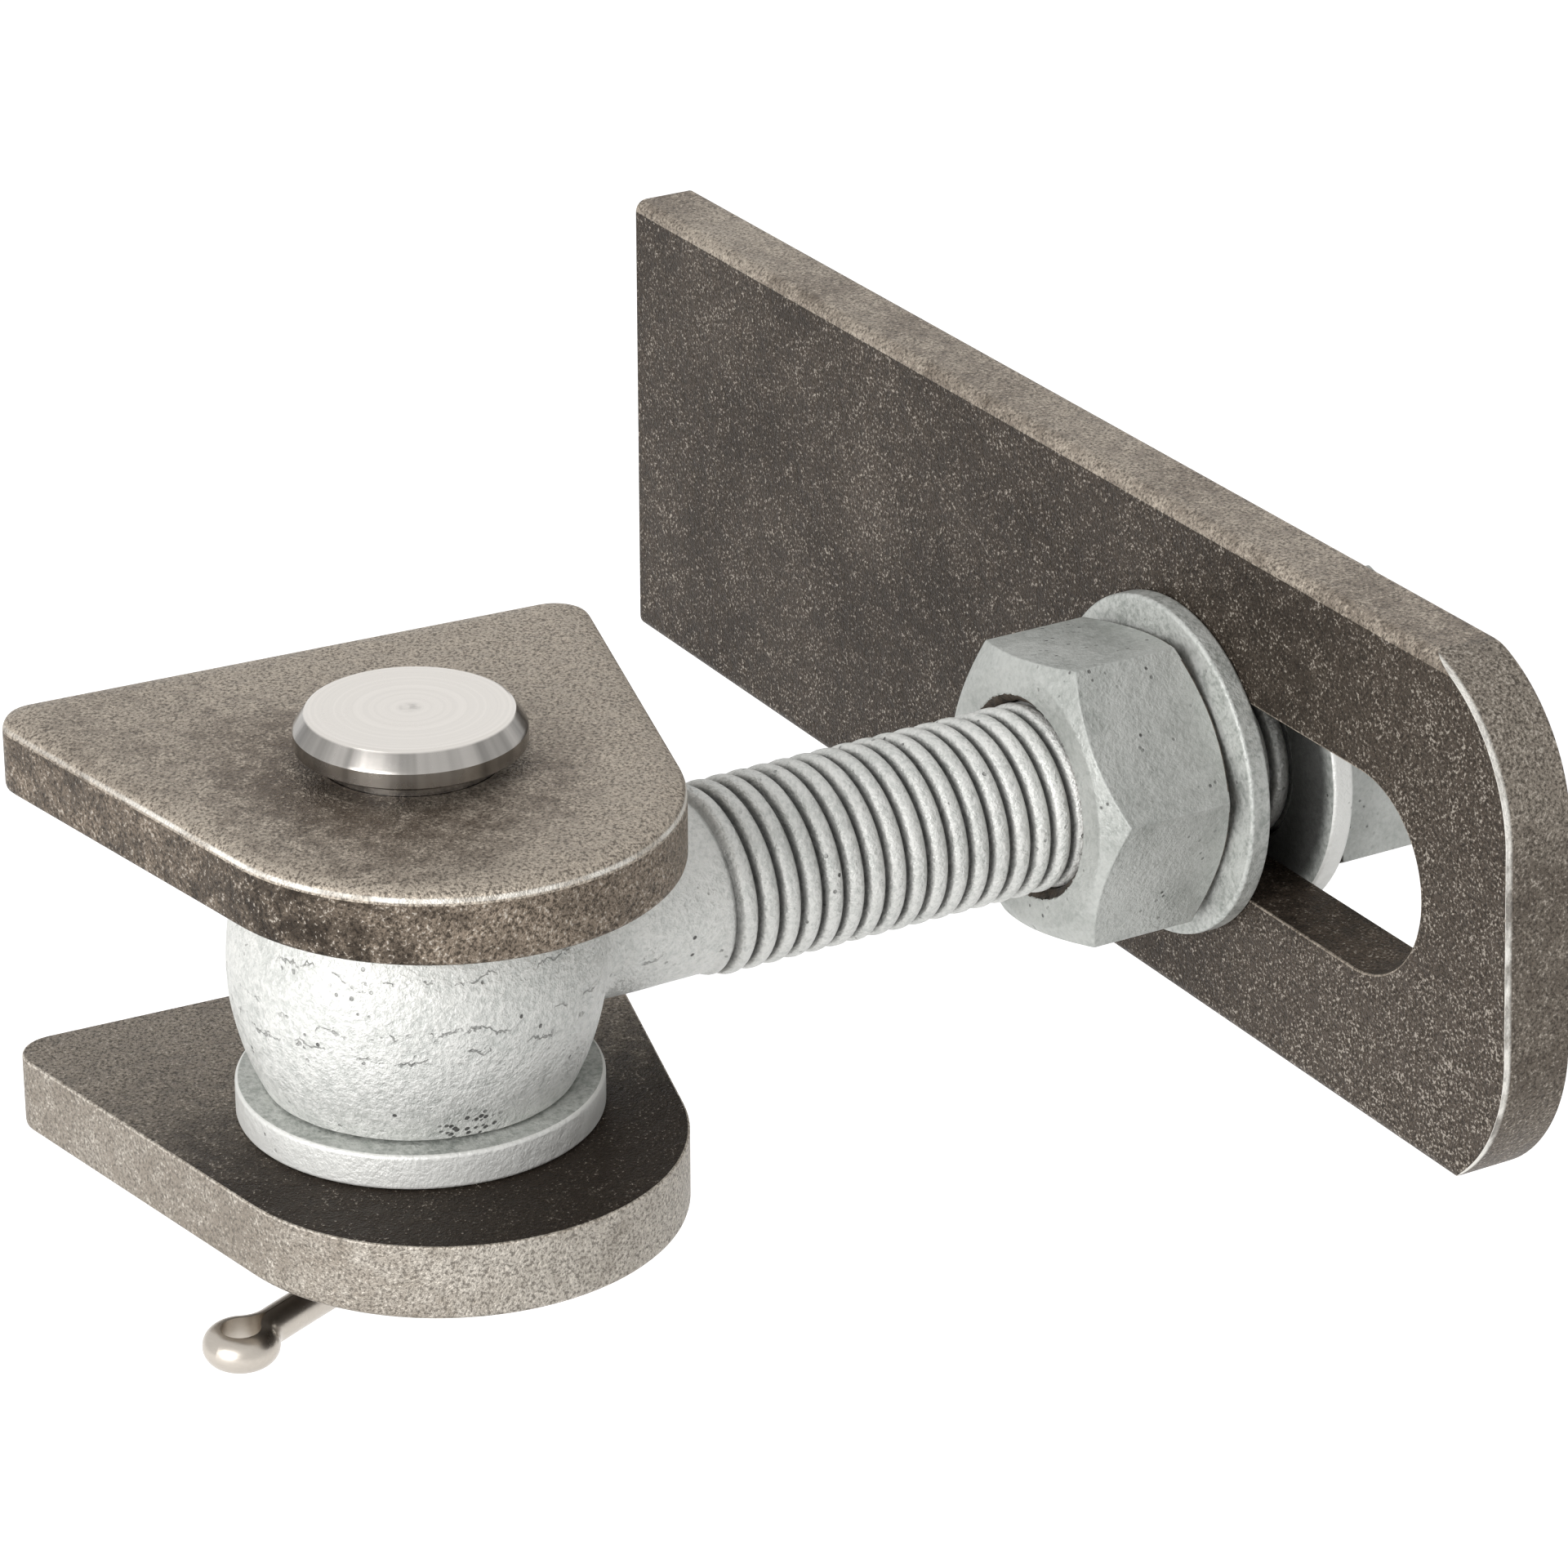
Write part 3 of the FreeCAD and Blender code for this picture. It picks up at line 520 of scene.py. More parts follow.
def raw_steel(name, colours, dark, light, flecks=0.0, coarse=1.0, clouding=1.0, patch=None, polish_and_highlight=None):
    """Raw plate with brown clouds, grain and bright specks; a patch shifts its tone, which on the ears is painted
    light and shade; the polish mask bares bright steel, as wear with a painted highlight.
    """
    f = Finish(name, metallic=0.55, roughness=0.45, gloss=0.12)
    clouds = f.noise(55 / coarse, detail=4, roughness=0.6)
    mottle = f.noise(480 / coarse, detail=3, roughness=0.65)
    grain = f.noise(2900 / coarse, detail=2, roughness=0.7)
    tone = f.plus(0.5, f.share(clouds, 0.7 * clouding), f.share(mottle, 0.8 * clouding))
    if patch:
        tone = f.plus(tone, patch(f))
    base = f.blend(f.band(tone, 0.2, 0.8), dark, light)
    base = f.blend(f.band(grain, 0.52, 0.36, 0.0, 0.72), base, [0.4 * part for part in dark])
    lit = f.plus(grain, f.share(mottle, 0.2), f.share(tone, 0.08), flecks)
    speck = f.band(lit, 0.585, 0.69)
    bright = [max(first, 1.35 * second) for first, second in zip(colours.fleck, light)]
    base = f.blend(f.times(speck, 0.8), base, bright)
    if polish_and_highlight:
        base = f.blend(polish_and_highlight(f), base, colours.worn)
    rough = f.calc("SUBTRACT", f.band(mottle, 0.3, 0.7, 0.42, 0.56), f.times(speck, 0.12))
    height = f.plus(grain, mottle)
    return f.finish(base, f.relief(height, 0.3 * MM * coarse, 0.95), rough)


def worn_steel(name, colours, under, cover):
    """Edge rubbed bright, broken up by left-over scale."""
    f = Finish(name, metallic=0.3, roughness=0.4)
    left_over = f.band(f.noise(850, detail=3, roughness=0.7), cover - 0.05, cover + 0.08)
    base = f.blend(left_over, colours.worn, under)
    return f.finish(base, f.relief(f.noise(1800, detail=2), 0.08 * MM, 0.5))


def galvanised(name, colours, dark, light, pits=0.5, marks_and_painted_light=None, grain=0.5, mottling=0.8):
    """Hot-dip zinc: pale granular matte skin with fine pits; the marks mask adds cracks, grooves and painted
    shade, darkened like the pits.
    """
    f = Finish(name, metallic=0.3, roughness=0.5)
    clouds = f.noise(90, detail=4, roughness=0.6)
    skin = f.noise(620, detail=3, roughness=0.6)
    grit = f.noise(1700, detail=2, roughness=0.7)
    tone = f.plus(0.5, f.share(clouds, 0.5), f.share(skin, 0.6 * mottling), f.share(grit, mottling))
    base = f.blend(f.band(tone, 0.25, 0.65), dark, light)
    crowd = f.band(f.noise(150, detail=3), 0.48, 0.68)
    distance, chance = f.cells(1400)
    few = 1.0 - 0.35 * pits
    pits_and_shade = f.times(f.band(distance, 0.36, 0.2), f.band(chance, few, few + 0.02), crowd)
    if marks_and_painted_light:
        pits_and_shade = f.calc("MAXIMUM", pits_and_shade, marks_and_painted_light(f))
    base = f.blend(f.times(pits_and_shade, 0.9), base, colours.pits_and_shade)
    height = f.plus(grit, f.times(skin, 0.7), f.times(pits_and_shade, -1.2))
    return f.finish(base, f.relief(height, 0.27 * MM, grain), f.band(skin, 0.3, 0.7, 0.44, 0.58))


def turned_steel(name, bright, axis, rings=1.0, roughness=0.24, marks_and_painted_light=None):
    """Stainless steel with fine turning rings about an axis of the piece."""
    f = Finish(name, metallic=1.0, roughness=roughness)
    x, y, z = f.seen_from(axis)
    spiral = f.add("ShaderNodeCombineXYZ", x=f.radius(x, y), y=z)
    lines = f.noise(2600, detail=3, roughness=0.7, vector=spiral.outputs["Vector"])
    base = f.blend(f.band(lines, 0.3, 0.75), [0.94 * part for part in bright], bright)
    if marks_and_painted_light:
        base = f.blend(marks_and_painted_light(f), base, [0.28 * part for part in bright])
    stain = f.noise(120, detail=4, roughness=0.6)
    rough = f.band(stain, 0.3, 0.75, roughness - 0.05, roughness + 0.1)
    return f.finish(base, f.relief(lines, 0.012 * MM, 0.5 * rings), rough)


# Ears

def ear_outline(sizes):
    """Teardrop about the pin: rounded weld corners and straight sides that run into the round nose."""
    weld = -PIN.y
    corner = Vector((sizes.ear_half_width, weld))
    nose = Vector((0.0, -sizes.nose_setback))
    reach = corner - nose
    touch = math.atan2(reach.y, reach.x) - math.acos(sizes.nose_radius / reach.length)
    side = (corner - nose - sizes.nose_radius * Vector((math.cos(touch), math.sin(touch)))).normalized()
    inward = Vector((-side.y, side.x))
    back = -sizes.ear_corner * (1 + inward.y) / side.y
    centre = corner + sizes.ear_corner * inward + back * side
    leave = math.atan2(-inward.y, -inward.x)
    points = arc(nose, sizes.nose_radius, math.pi - touch, 2 * math.pi + touch, 90)
    right = arc(centre, sizes.ear_corner, leave, math.pi / 2, 10)
    return points + right + [(-x, y) for x, y in reversed(right)]


def pull_down_rim(ear, drop):
    """Crown the upper face, so that it falls towards its rim the way a punched plate does."""
    widths_and_shares = ((0.5, 0.42), (0.8, 0.3), (1.1, 0.18), (1.3, 0.1))
    with editing(ear):
        pick(ear, "faces", lambda face: face.normal.z > 0.9)
        for width, rise in widths_and_shares:
            bpy.ops.mesh.inset(thickness=width * MM, depth=rise * drop, use_even_offset=True)


class GATEHINGE_OT_ears(bpy.types.Operator):
    """Upper and lower ear: teardrop plates with punched flanks and worn rims, with painted light and shade on
    their tops and flanks and a painted highlight on the upper rim
    """

    bl_idname = "gate_hinge.ears"
    bl_label = "Ears"

    def execute(self, context):
        sizes, colours = settings(context)

        # Painted light on the upper ear's top: painted shade darker towards the pin, partly staining, a little
        # darker towards the front, lighter towards the right, and a painted highlight band on the nose's rolled
        # rim
        def shade_and_highlight_on_top(f):
            x, y, _ = f.seen_from(ON_PIN)
            shade_and_stain_near_pin = f.band(f.radius(x, f.plus(y, 3 * MM)), 27 * MM, 12 * MM, 0.0, -0.34)
            front = f.band(y, 0.0, -24 * MM, 0.0, -0.04)
            right = f.band(x, -20 * MM, 20 * MM, 0.16, 0.42)
            from_nose = f.radius(x, f.plus(y, sizes.nose_setback))
            nose = f.band(from_nose, 22.4 * MM, 23.5 * MM, 0.0, 0.45)
            painted_nose_highlight = f.times(nose, f.band(y, 4 * MM, -8 * MM))
            return f.plus(shade_and_stain_near_pin, front, right, painted_nose_highlight)

        # Painted shade: the lower ear's top darker towards the front and lighter towards the back
        def painted_shade_front(f):
            _, y, _ = f.seen_from(ON_PIN)
            return f.band(y, 22 * MM, -16 * MM, 0.2, -0.3)

        # Painted light across a flank: lighter or darker from left to right as the light falls on it
        def painted_light_across(start, end, left, right):
            return lambda f: f.band(f.seen_from(ON_PIN)[0], start * MM, end * MM, left, right)

        # Bright line along the upper ear's rolled rim: bare worn steel with a painted highlight, strongest towards
        # the front
        def worn_rim_and_highlight(f):
            _, y, z = f.seen_from(ON_PIN)
            from_lip = f.calc("ABSOLUTE", f.calc("SUBTRACT", z, rim - 0.2 * MM))
            lip = f.band(from_lip, 0.32 * MM, 0.1 * MM)
            patchy = f.band(f.noise(170, detail=4), 0.36, 0.6, 0.3, 0.85)
            return f.times(lip, patchy, f.band(y, 28 * MM, -14 * MM, 0.25, 1.0))

        top_side, flank, crisp = range(3)
        dull = [0.68 * part for part in colours.bare_light]
        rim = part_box("upper_ear")[1].z - sizes.rim_drop
        upper = (
            raw_steel(
                "ear_top_scale", colours, colours.bare_dark, colours.bare_light,
                patch=shade_and_highlight_on_top, polish_and_highlight=worn_rim_and_highlight,
            ),
            raw_steel(
                "ear_punched_flank", colours, colours.scale_dark, colours.flank, coarse=1.2,
                patch=painted_light_across(-26, 20, -0.06, 0.2),
            ),
        )
        lower = (
            raw_steel(
                "lower_ear_scale", colours, colours.scale_dark, dull, flecks=-0.02, clouding=0.6,
                patch=painted_shade_front,
            ),
            raw_steel(
                "lower_ear_flank", colours, dull, colours.cut_light,
                patch=painted_light_across(-26, -4, -0.14, 0.16),
            ),
            raw_steel("ear_crisp_rim", colours, colours.bare_light, colours.cut_light, flecks=0.1),
        )
        for node, drop, width, segments, edging, finishes in (
            ("upper_ear", sizes.rim_drop, sizes.soft_rim, 4, top_side, upper),
            ("lower_ear", 0.0, sizes.crisp_rim, 2, crisp, lower),
        ):
            low, high = (corner.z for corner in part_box(node))
            ear = slab(f"{node}_plate", ear_outline(sizes), low, high - drop)
            wear(ear, *finishes)
            paint(ear, flank, lambda part: abs(part.normal.z) < 0.5)
            if drop:
                pull_down_rim(ear, drop)
            bevel(ear, width, segments, lambda edge: level(edge, high - drop), material=edging)
            bevel(ear, sizes.dressed_rim, 3, lambda edge: level(edge, low), material=flank)
            cut(ear, drill(sizes.bore_radius, low - MM, high + MM))
            hand_over(ear, node, ON_PIN)
        return {"FINISHED"}


# Hinge pin and cotter

class GATEHINGE_OT_pin(bpy.types.Operator):
    """Turned hinge pin with its bevelled head, and the split cotter below"""

    bl_idname = "gate_hinge.pin"
    bl_label = "Hinge pin and cotter"

    def execute(self, context):
        sizes, colours = settings(context)
        low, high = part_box("hinge_pin")
        head = (high.x - low.x) / 2
        seat = high.z - sizes.head_rim - sizes.head_bevel
        groove = seat - 0.55 * sizes.pin_lift
        shank = sizes.pin_radius
        edge = 0.15 * MM
        pin = turned("turned_pin", (
            (0.0, low.z),
            (shank - MM, low.z),
            (shank, low.z + MM),
            (shank, groove - edge),
            (shank - edge, groove),
            (shank, groove + edge),
            (shank, seat - edge),
            (shank + edge, seat),
            (head - edge, seat),
            (head, seat + edge),
            (head, seat + sizes.head_rim - edge),
            (head - edge, seat + sizes.head_rim + edge),
            (head - sizes.head_bevel_width + edge, high.z - edge),
            (head - sizes.head_bevel_width - edge, high.z),
            (0.0, high.z),
        ))

        # Painted reflection: darker streaky bands on the head below its top face, and a rubbed dimple at the
        # middle of the head
        def bevel_bands_and_dimple(f):
            x, y, z = f.seen_from(ON_PIN)
            out = f.radius(x, y)
            across, along = [f.calc("DIVIDE", part, out) for part in (x, y)]
            round_about = f.add("ShaderNodeCombineXYZ", x=across, y=along)
            streaks = f.noise(2.6, detail=3, roughness=0.6, vector=round_about.outputs["Vector"])
            below = f.band(z, high.z - 0.1 * MM, high.z - 0.35 * MM)
            painted_reflection_bands = f.times(below, f.band(streaks, 0.35, 0.65, 0.6, 1.0))
            rubbed = f.band(f.noise(900), 0.35, 0.65, 0.1, 0.5)
            dimple = f.times(f.band(out, 1.5 * MM, 0.3 * MM), rubbed)
            return f.calc("MAXIMUM", painted_reflection_bands, dimple)

        wear(pin, turned_steel("turned_pin_steel", colours.stainless, ON_PIN, rings=0.25, marks_and_painted_light=bevel_bands_and_dimple))
        hand_over(pin, "hinge_pin", ON_PIN, 20)
        cotter = frame["nodes"]["cotter_pin"]
        cotter.data.materials.clear()
        wear(cotter, turned_steel("cotter_steel", colours.cotter, ON_PIN, rings=0.6, roughness=0.3))
        return {"FINISHED"}


# Eye bolt

def cut_thread(sizes):
    """Threaded length along Z: broad zinc-filled crests, faded in at the start, bevelled at the end."""
    start, end, pitch = sizes.thread_start, sizes.bolt_end, sizes.thread_pitch
    root = sizes.thread_radius - sizes.thread_depth
    spare_turns = 4
    turns = math.ceil((end - start) / pitch) + spare_turns
    first = start - spare_turns / 2 * pitch
    crest_breadth = 2.6
    profile_steps = 12
    profile = []
    for step in range(profile_steps + 1):
        across = step / profile_steps
        crest = 1.0 - abs(2.0 * across - 1.0) ** crest_breadth
        profile.append((root + sizes.thread_depth * crest, first + across * pitch))
    thread = turned("bolt_thread", profile, steps=60, screw_offset=pitch, iterations=turns)
    tip_bevel = 1.8 * MM
    sunk = sizes.neck_radius - 0.15 * MM
    for vertex in thread.data.vertices:
        radius = math.hypot(vertex.co.x, vertex.co.y)
        rise = min(max((vertex.co.z - start) / sizes.thread_fade, 0.0), 1.0)
        rise = rise * rise * (3 - 2 * rise)
        wanted = sunk + (radius - sunk) * rise
        wanted = min(wanted, sizes.thread_radius - max(0.0, vertex.co.z - end + tip_bevel))
        vertex.co.x *= wanted / radius
        vertex.co.y *= wanted / radius
    with editing(thread):
        for height, way in ((start - MM, -1), (end, 1)):
            bpy.ops.mesh.select_all(action="SELECT")
            bpy.ops.mesh.bisect(
                plane_co=(0, 0, height), plane_no=(0, 0, way), use_fill=True, clear_outer=True,
            )
    return thread


def forge_eye(sizes, half_width):
    """Barrel-shaped eye about Z with its bore, and the hollow neck that leaves it along X."""
    flat = sizes.eye_radius - sizes.eye_bow + math.sqrt(sizes.eye_bow ** 2 - half_width ** 2)
    reach = math.asin((half_width - 0.4 * sizes.eye_softness) / sizes.eye_bow)
    side = arc((sizes.eye_radius - sizes.eye_bow, 0.0), sizes.eye_bow, -reach, reach, 60)
    bore = sizes.bore_radius
    lip = flat - sizes.eye_softness
    steps = 6
    floor = [(bore + (lip - bore) * step / steps, -half_width) for step in range(steps + 1)]
    roof = [(radius, -height) for radius, height in reversed(floor)]
    wall = [(bore, half_width * (1 - 2 * step / steps)) for step in range(1, steps)]
    eye = turned("eye_bolt_forging", floor + side + roof + wall, closed=True, steps=160)
    rise = sizes.neck_radius + sizes.neck_fillet
    away = math.sqrt((sizes.eye_radius + sizes.neck_fillet) ** 2 - rise ** 2) - 0.15 * MM
    tangent = math.atan2(rise, away)
    hollow = arc((away, rise), sizes.neck_fillet, math.pi + tangent, 1.5 * math.pi, 16)
    neck_end = sizes.thread_start + 0.3 * MM
    neck_steps = 12
    neck_step = (neck_end - away) / neck_steps
    plain = [(away + neck_step * step, sizes.neck_radius) for step in range(1, neck_steps + 1)]
    profile = [(radius, along) for along, radius in hollow + plain]
    neck = turned("neck_blank", [(0.0, profile[0][1]), *profile, (0.0, neck_end)])
    settle(neck, Z_TO_X)
    cut(eye, neck, "UNION")
    lumps = bpy.data.textures.new("forging_lumps", "CLOUDS")
    lumps.noise_scale = 8 * MM
    lumps.noise_depth = 2
    modify(eye, "DISPLACE", texture=lumps, texture_coords="LOCAL", strength=0.2 * MM, mid_level=0.75)
    return eye


class GATEHINGE_OT_eye_bolt(bpy.types.Operator):
    """Forged and galvanised eye bolt: barrel eye with two flats, hollow neck and zinc-filled thread"""

    bl_idname = "gate_hinge.eye_bolt"
    bl_label = "Eye bolt"

    def execute(self, context):
        sizes, colours = settings(context)
        low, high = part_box("eye_bolt")
        eye = forge_eye(sizes, (high.z - low.z) / 2)
        thread = cut_thread(sizes)
        settle(thread, Z_TO_X)
        activate(eye)
        thread.select_set(True)
        bpy.ops.object.join()

        seam_heights = (0.2 * MM, -2.6 * MM, 5.5 * MM)
        neck_root = 19.5 * MM

        def marks_and_painted_light(f):
            along, across, up = f.seen_from(ON_BOLT)
            waver = f.share(f.noise(210, detail=4, roughness=0.7), 7 * MM)
            broken = f.band(f.noise(300, detail=3), 0.5, 0.6)
            lines = []
            for height in seam_heights:
                seam = f.calc("ABSOLUTE", f.plus(up, waver, -height))
                lines.append(f.band(seam, 0.2 * MM, 0.06 * MM))
            junction = f.calc("ABSOLUTE", f.plus(along, waver, -neck_root))
            lines.append(f.band(junction, 0.32 * MM, 0.1 * MM))
            on_eye = f.band(along, 24 * MM, 21 * MM)
            cracks = f.times(f.calc("MAXIMUM", *lines), broken, on_eye, 0.55)
            distance, _ = f.cells(1300)
            crowd = ON_BOLT @ shift((-2.5 * MM, -15.2 * MM, -11.1 * MM))
            cluster = f.mark(crowd, (5 * MM, 5 * MM, 3 * MM))
            spots = f.times(f.band(distance, 0.4, 0.25), f.band(cluster, 0.15, 0.5))
            threaded = f.band(along, sizes.thread_start, sizes.thread_start + 3 * MM)
            # Painted shade with dirt: the thread's grooves darkened along the threaded length
            groove = f.band(f.radius(across, up), 9.75 * MM, 9.1 * MM, 0.0, 0.85)
            before_end = f.band(along, sizes.bolt_end, sizes.bolt_end - 0.3 * MM)
            return f.calc("MAXIMUM", cracks, spots, f.times(groove, threaded, before_end))

        wear(eye, galvanised(
            "forged_zinc", colours, colours.zinc_mid, colours.zinc_light, pits=0.35, marks_and_painted_light=marks_and_painted_light, grain=0.9,
        ))
        hand_over(eye, "eye_bolt", ON_BOLT, 40)
        return {"FINISHED"}


# Nuts

# Places of a nut's second and third finish: worn edges with a painted highlight, and painted shade round the
# thread and against the washer
ON_WORN_LIT_EDGE, IN_PAINTED_SHADE = 1, 2


def make_nut(name, sizes, turn):
    """Hexagon nut along Z with bevelled corners, countersunk bore and zinc-softened edges."""
    corner = sizes.nut_flats / 2 / math.cos(math.pi / 6)
    outline = arc((0.0, 0.0), corner, turn, turn + 2 * math.pi, 6)[:-1]
    top, crown, bore = sizes.nut_height, sizes.nut_crown, sizes.nut_bore
    nut = slab(name, outline, 0.0, top)
    outside = corner + MM
    slope = (outside - crown) * math.tan(math.pi / 6)
    crowned = turned("crown_cutter", (
        (0.0, 0.0), (crown, 0.0), (outside, slope), (outside, top - slope), (crown, top), (0.0, top),
    ))
    cut(nut, crowned, "INTERSECT")
    mouth = bore + 2 * MM
    cut(nut, turned("bore_cutter", (
        (0.0, -MM), (mouth, -MM), (bore, MM), (bore, top - MM), (mouth, top + MM), (0.0, top + MM),
    )))
    modify(
        nut, "BEVEL", width=sizes.nut_softness, segments=3, limit_method="ANGLE",
        angle_limit=math.radians(22), material=ON_WORN_LIT_EDGE,
    )
    return nut


class GATEHINGE_OT_nuts(bpy.types.Operator):
    """Front and rear nut on the bolt's thread"""

    bl_idname = "gate_hinge.nuts"
    bl_label = "Nuts"

    def execute(self, context):
        sizes, colours = settings(context)
        pale = colours.zinc_light
        flank = galvanised("nut_zinc", colours, colours.zinc_dark, colours.zinc_mid, pits=0.6, mottling=0.35)
        # Pale edge finish: worn zinc with a painted highlight along the edges
        edge = galvanised("nut_edge_zinc", colours, pale, pale, pits=0.2, mottling=0.5)
        # Painted shade in the countersink round the thread and on the chamfer against the washer
        gap_painted_shade = galvanised("nut_gap_zinc", colours, colours.pits_and_shade, colours.bare_dark, pits=0.5)
        front = sizes.plate_stand_off - sizes.washer_thickness - sizes.nut_height
        rear = sizes.plate_stand_off + sizes.plate_thickness + sizes.washer_thickness
        for node, start, turn in (
            ("front_nut", front, sizes.front_nut_turn),
            ("rear_nut", rear, sizes.rear_nut_turn),
        ):
            nut = make_nut(f"{node}_hexagon", sizes, turn)
            wear(nut, flank, edge, gap_painted_shade)
            seat = sizes.nut_height if node == "front_nut" else 0.0
            # Painted shade: faces round the bore and the chamfer that meets the washer
            paint(nut, IN_PAINTED_SHADE, lambda part: part.center.xy.length < sizes.nut_bore + 0.9 * MM)
            paint(nut, IN_PAINTED_SHADE, lambda part: abs(part.center.z - seat) < 1.6 * MM and abs(part.normal.z) > 0.1)
            settle(nut, XYZ_TO_YZX)
            hand_over(nut, node, ON_BOLT @ shift((start, 0, 0)), 25)
        return {"FINISHED"}


# Washers and spacer

def make_ring(name, sizes, inside, thickness):
    """Flat ring about Z with rounded edges."""
    outside = sizes.ring_radius
    edge = sizes.ring_edge
    low = sizes.ring_play
    high = thickness - sizes.ring_play
    lower = arc((outside - edge, low + edge), edge, -math.pi / 2, 0, 5)
    upper = arc((outside - edge, high - edge), edge, 0, math.pi / 2, 5)
    inner = [(inside + edge, high), (inside, high - edge), (inside, low + edge), (inside + edge, low)]
    return turned(name, lower + upper + inner, closed=True)


class GATEHINGE_OT_rings(bpy.types.Operator):
    """Spacer under the eye and the two clamp washers"""

    bl_idname = "gate_hinge.rings"
    bl_label = "Spacer and washers"

    def execute(self, context):
        sizes, colours = settings(context)
        grey, middle = colours.zinc_dark, colours.zinc_mid
        face = galvanised("ring_zinc", colours, grey, middle, pits=0.4)
        # Painted highlight: the lighter rim finish of the spacer and the rear washer
        pale = galvanised("ring_rim_zinc", colours, colours.zinc_light, colours.zinc_light, pits=0.3)

        def shadow(f):
            _, across, up = f.seen_from(ON_BOLT)
            return f.band(f.radius(across, up), 18.2 * MM, 16.0 * MM, 0.0, 0.97)

        shaded = galvanised("rear_ring_zinc", colours, grey, middle, pits=0.8, marks_and_painted_light=shadow)
        low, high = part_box("spacer_washer")
        on_ear = ON_PIN @ shift((0, 0, low.z))
        near_face = shift((sizes.plate_stand_off - sizes.washer_thickness, 0, 0))
        far_face = shift((sizes.plate_stand_off + sizes.plate_thickness, 0, 0))
        thin = sizes.washer_thickness
        on_rim = 1
        outer = sizes.ring_radius - 0.6 * sizes.ring_edge
        for node, inside, thickness, place, finishes in (
            ("spacer_washer", sizes.bore_radius, high.z - low.z, on_ear, (face, pale)),
            ("front_washer", sizes.washer_bore, thin, ON_BOLT @ near_face @ Z_TO_X, (face, face)),
            ("rear_washer", sizes.washer_bore, thin, ON_BOLT @ far_face @ Z_TO_X, (shaded, pale)),
        ):
            ring = make_ring(f"{node}_ring", sizes, inside, thickness)
            wear(ring, *finishes)
            paint(ring, on_rim, lambda part: part.center.xy.length > outer and abs(part.normal.z) < 0.9)
            hand_over(ring, node, place, 35)
        return {"FINISHED"}


# Slotted plate

def punch_outline(sizes, low, high, square):
    """Outline that the punch leaves: beyond the bar's edges, with two round corners and a leaning end."""
    lean, corner = sizes.plate_lean, sizes.plate_corner
    upper = high + sizes.plate_upper_bite - corner
    lower = low - sizes.plate_lower_bite + corner
    setback = sizes.slot_radius + sizes.slot_margin - corner
    upper_x, lower_x = (
        -sizes.slot_outer - (setback - math.sin(lean) * (height - sizes.plate_lift)) / math.cos(lean)
        for height in (upper, lower)
    )
    leave = math.pi - lean
    return (
        [(square, lower - corner), (square, upper + corner)]
        + arc((upper_x, upper), corner, math.pi / 2, leave, 30)
        + arc((lower_x, lower), corner, leave, 1.5 * math.pi, 30)
    )


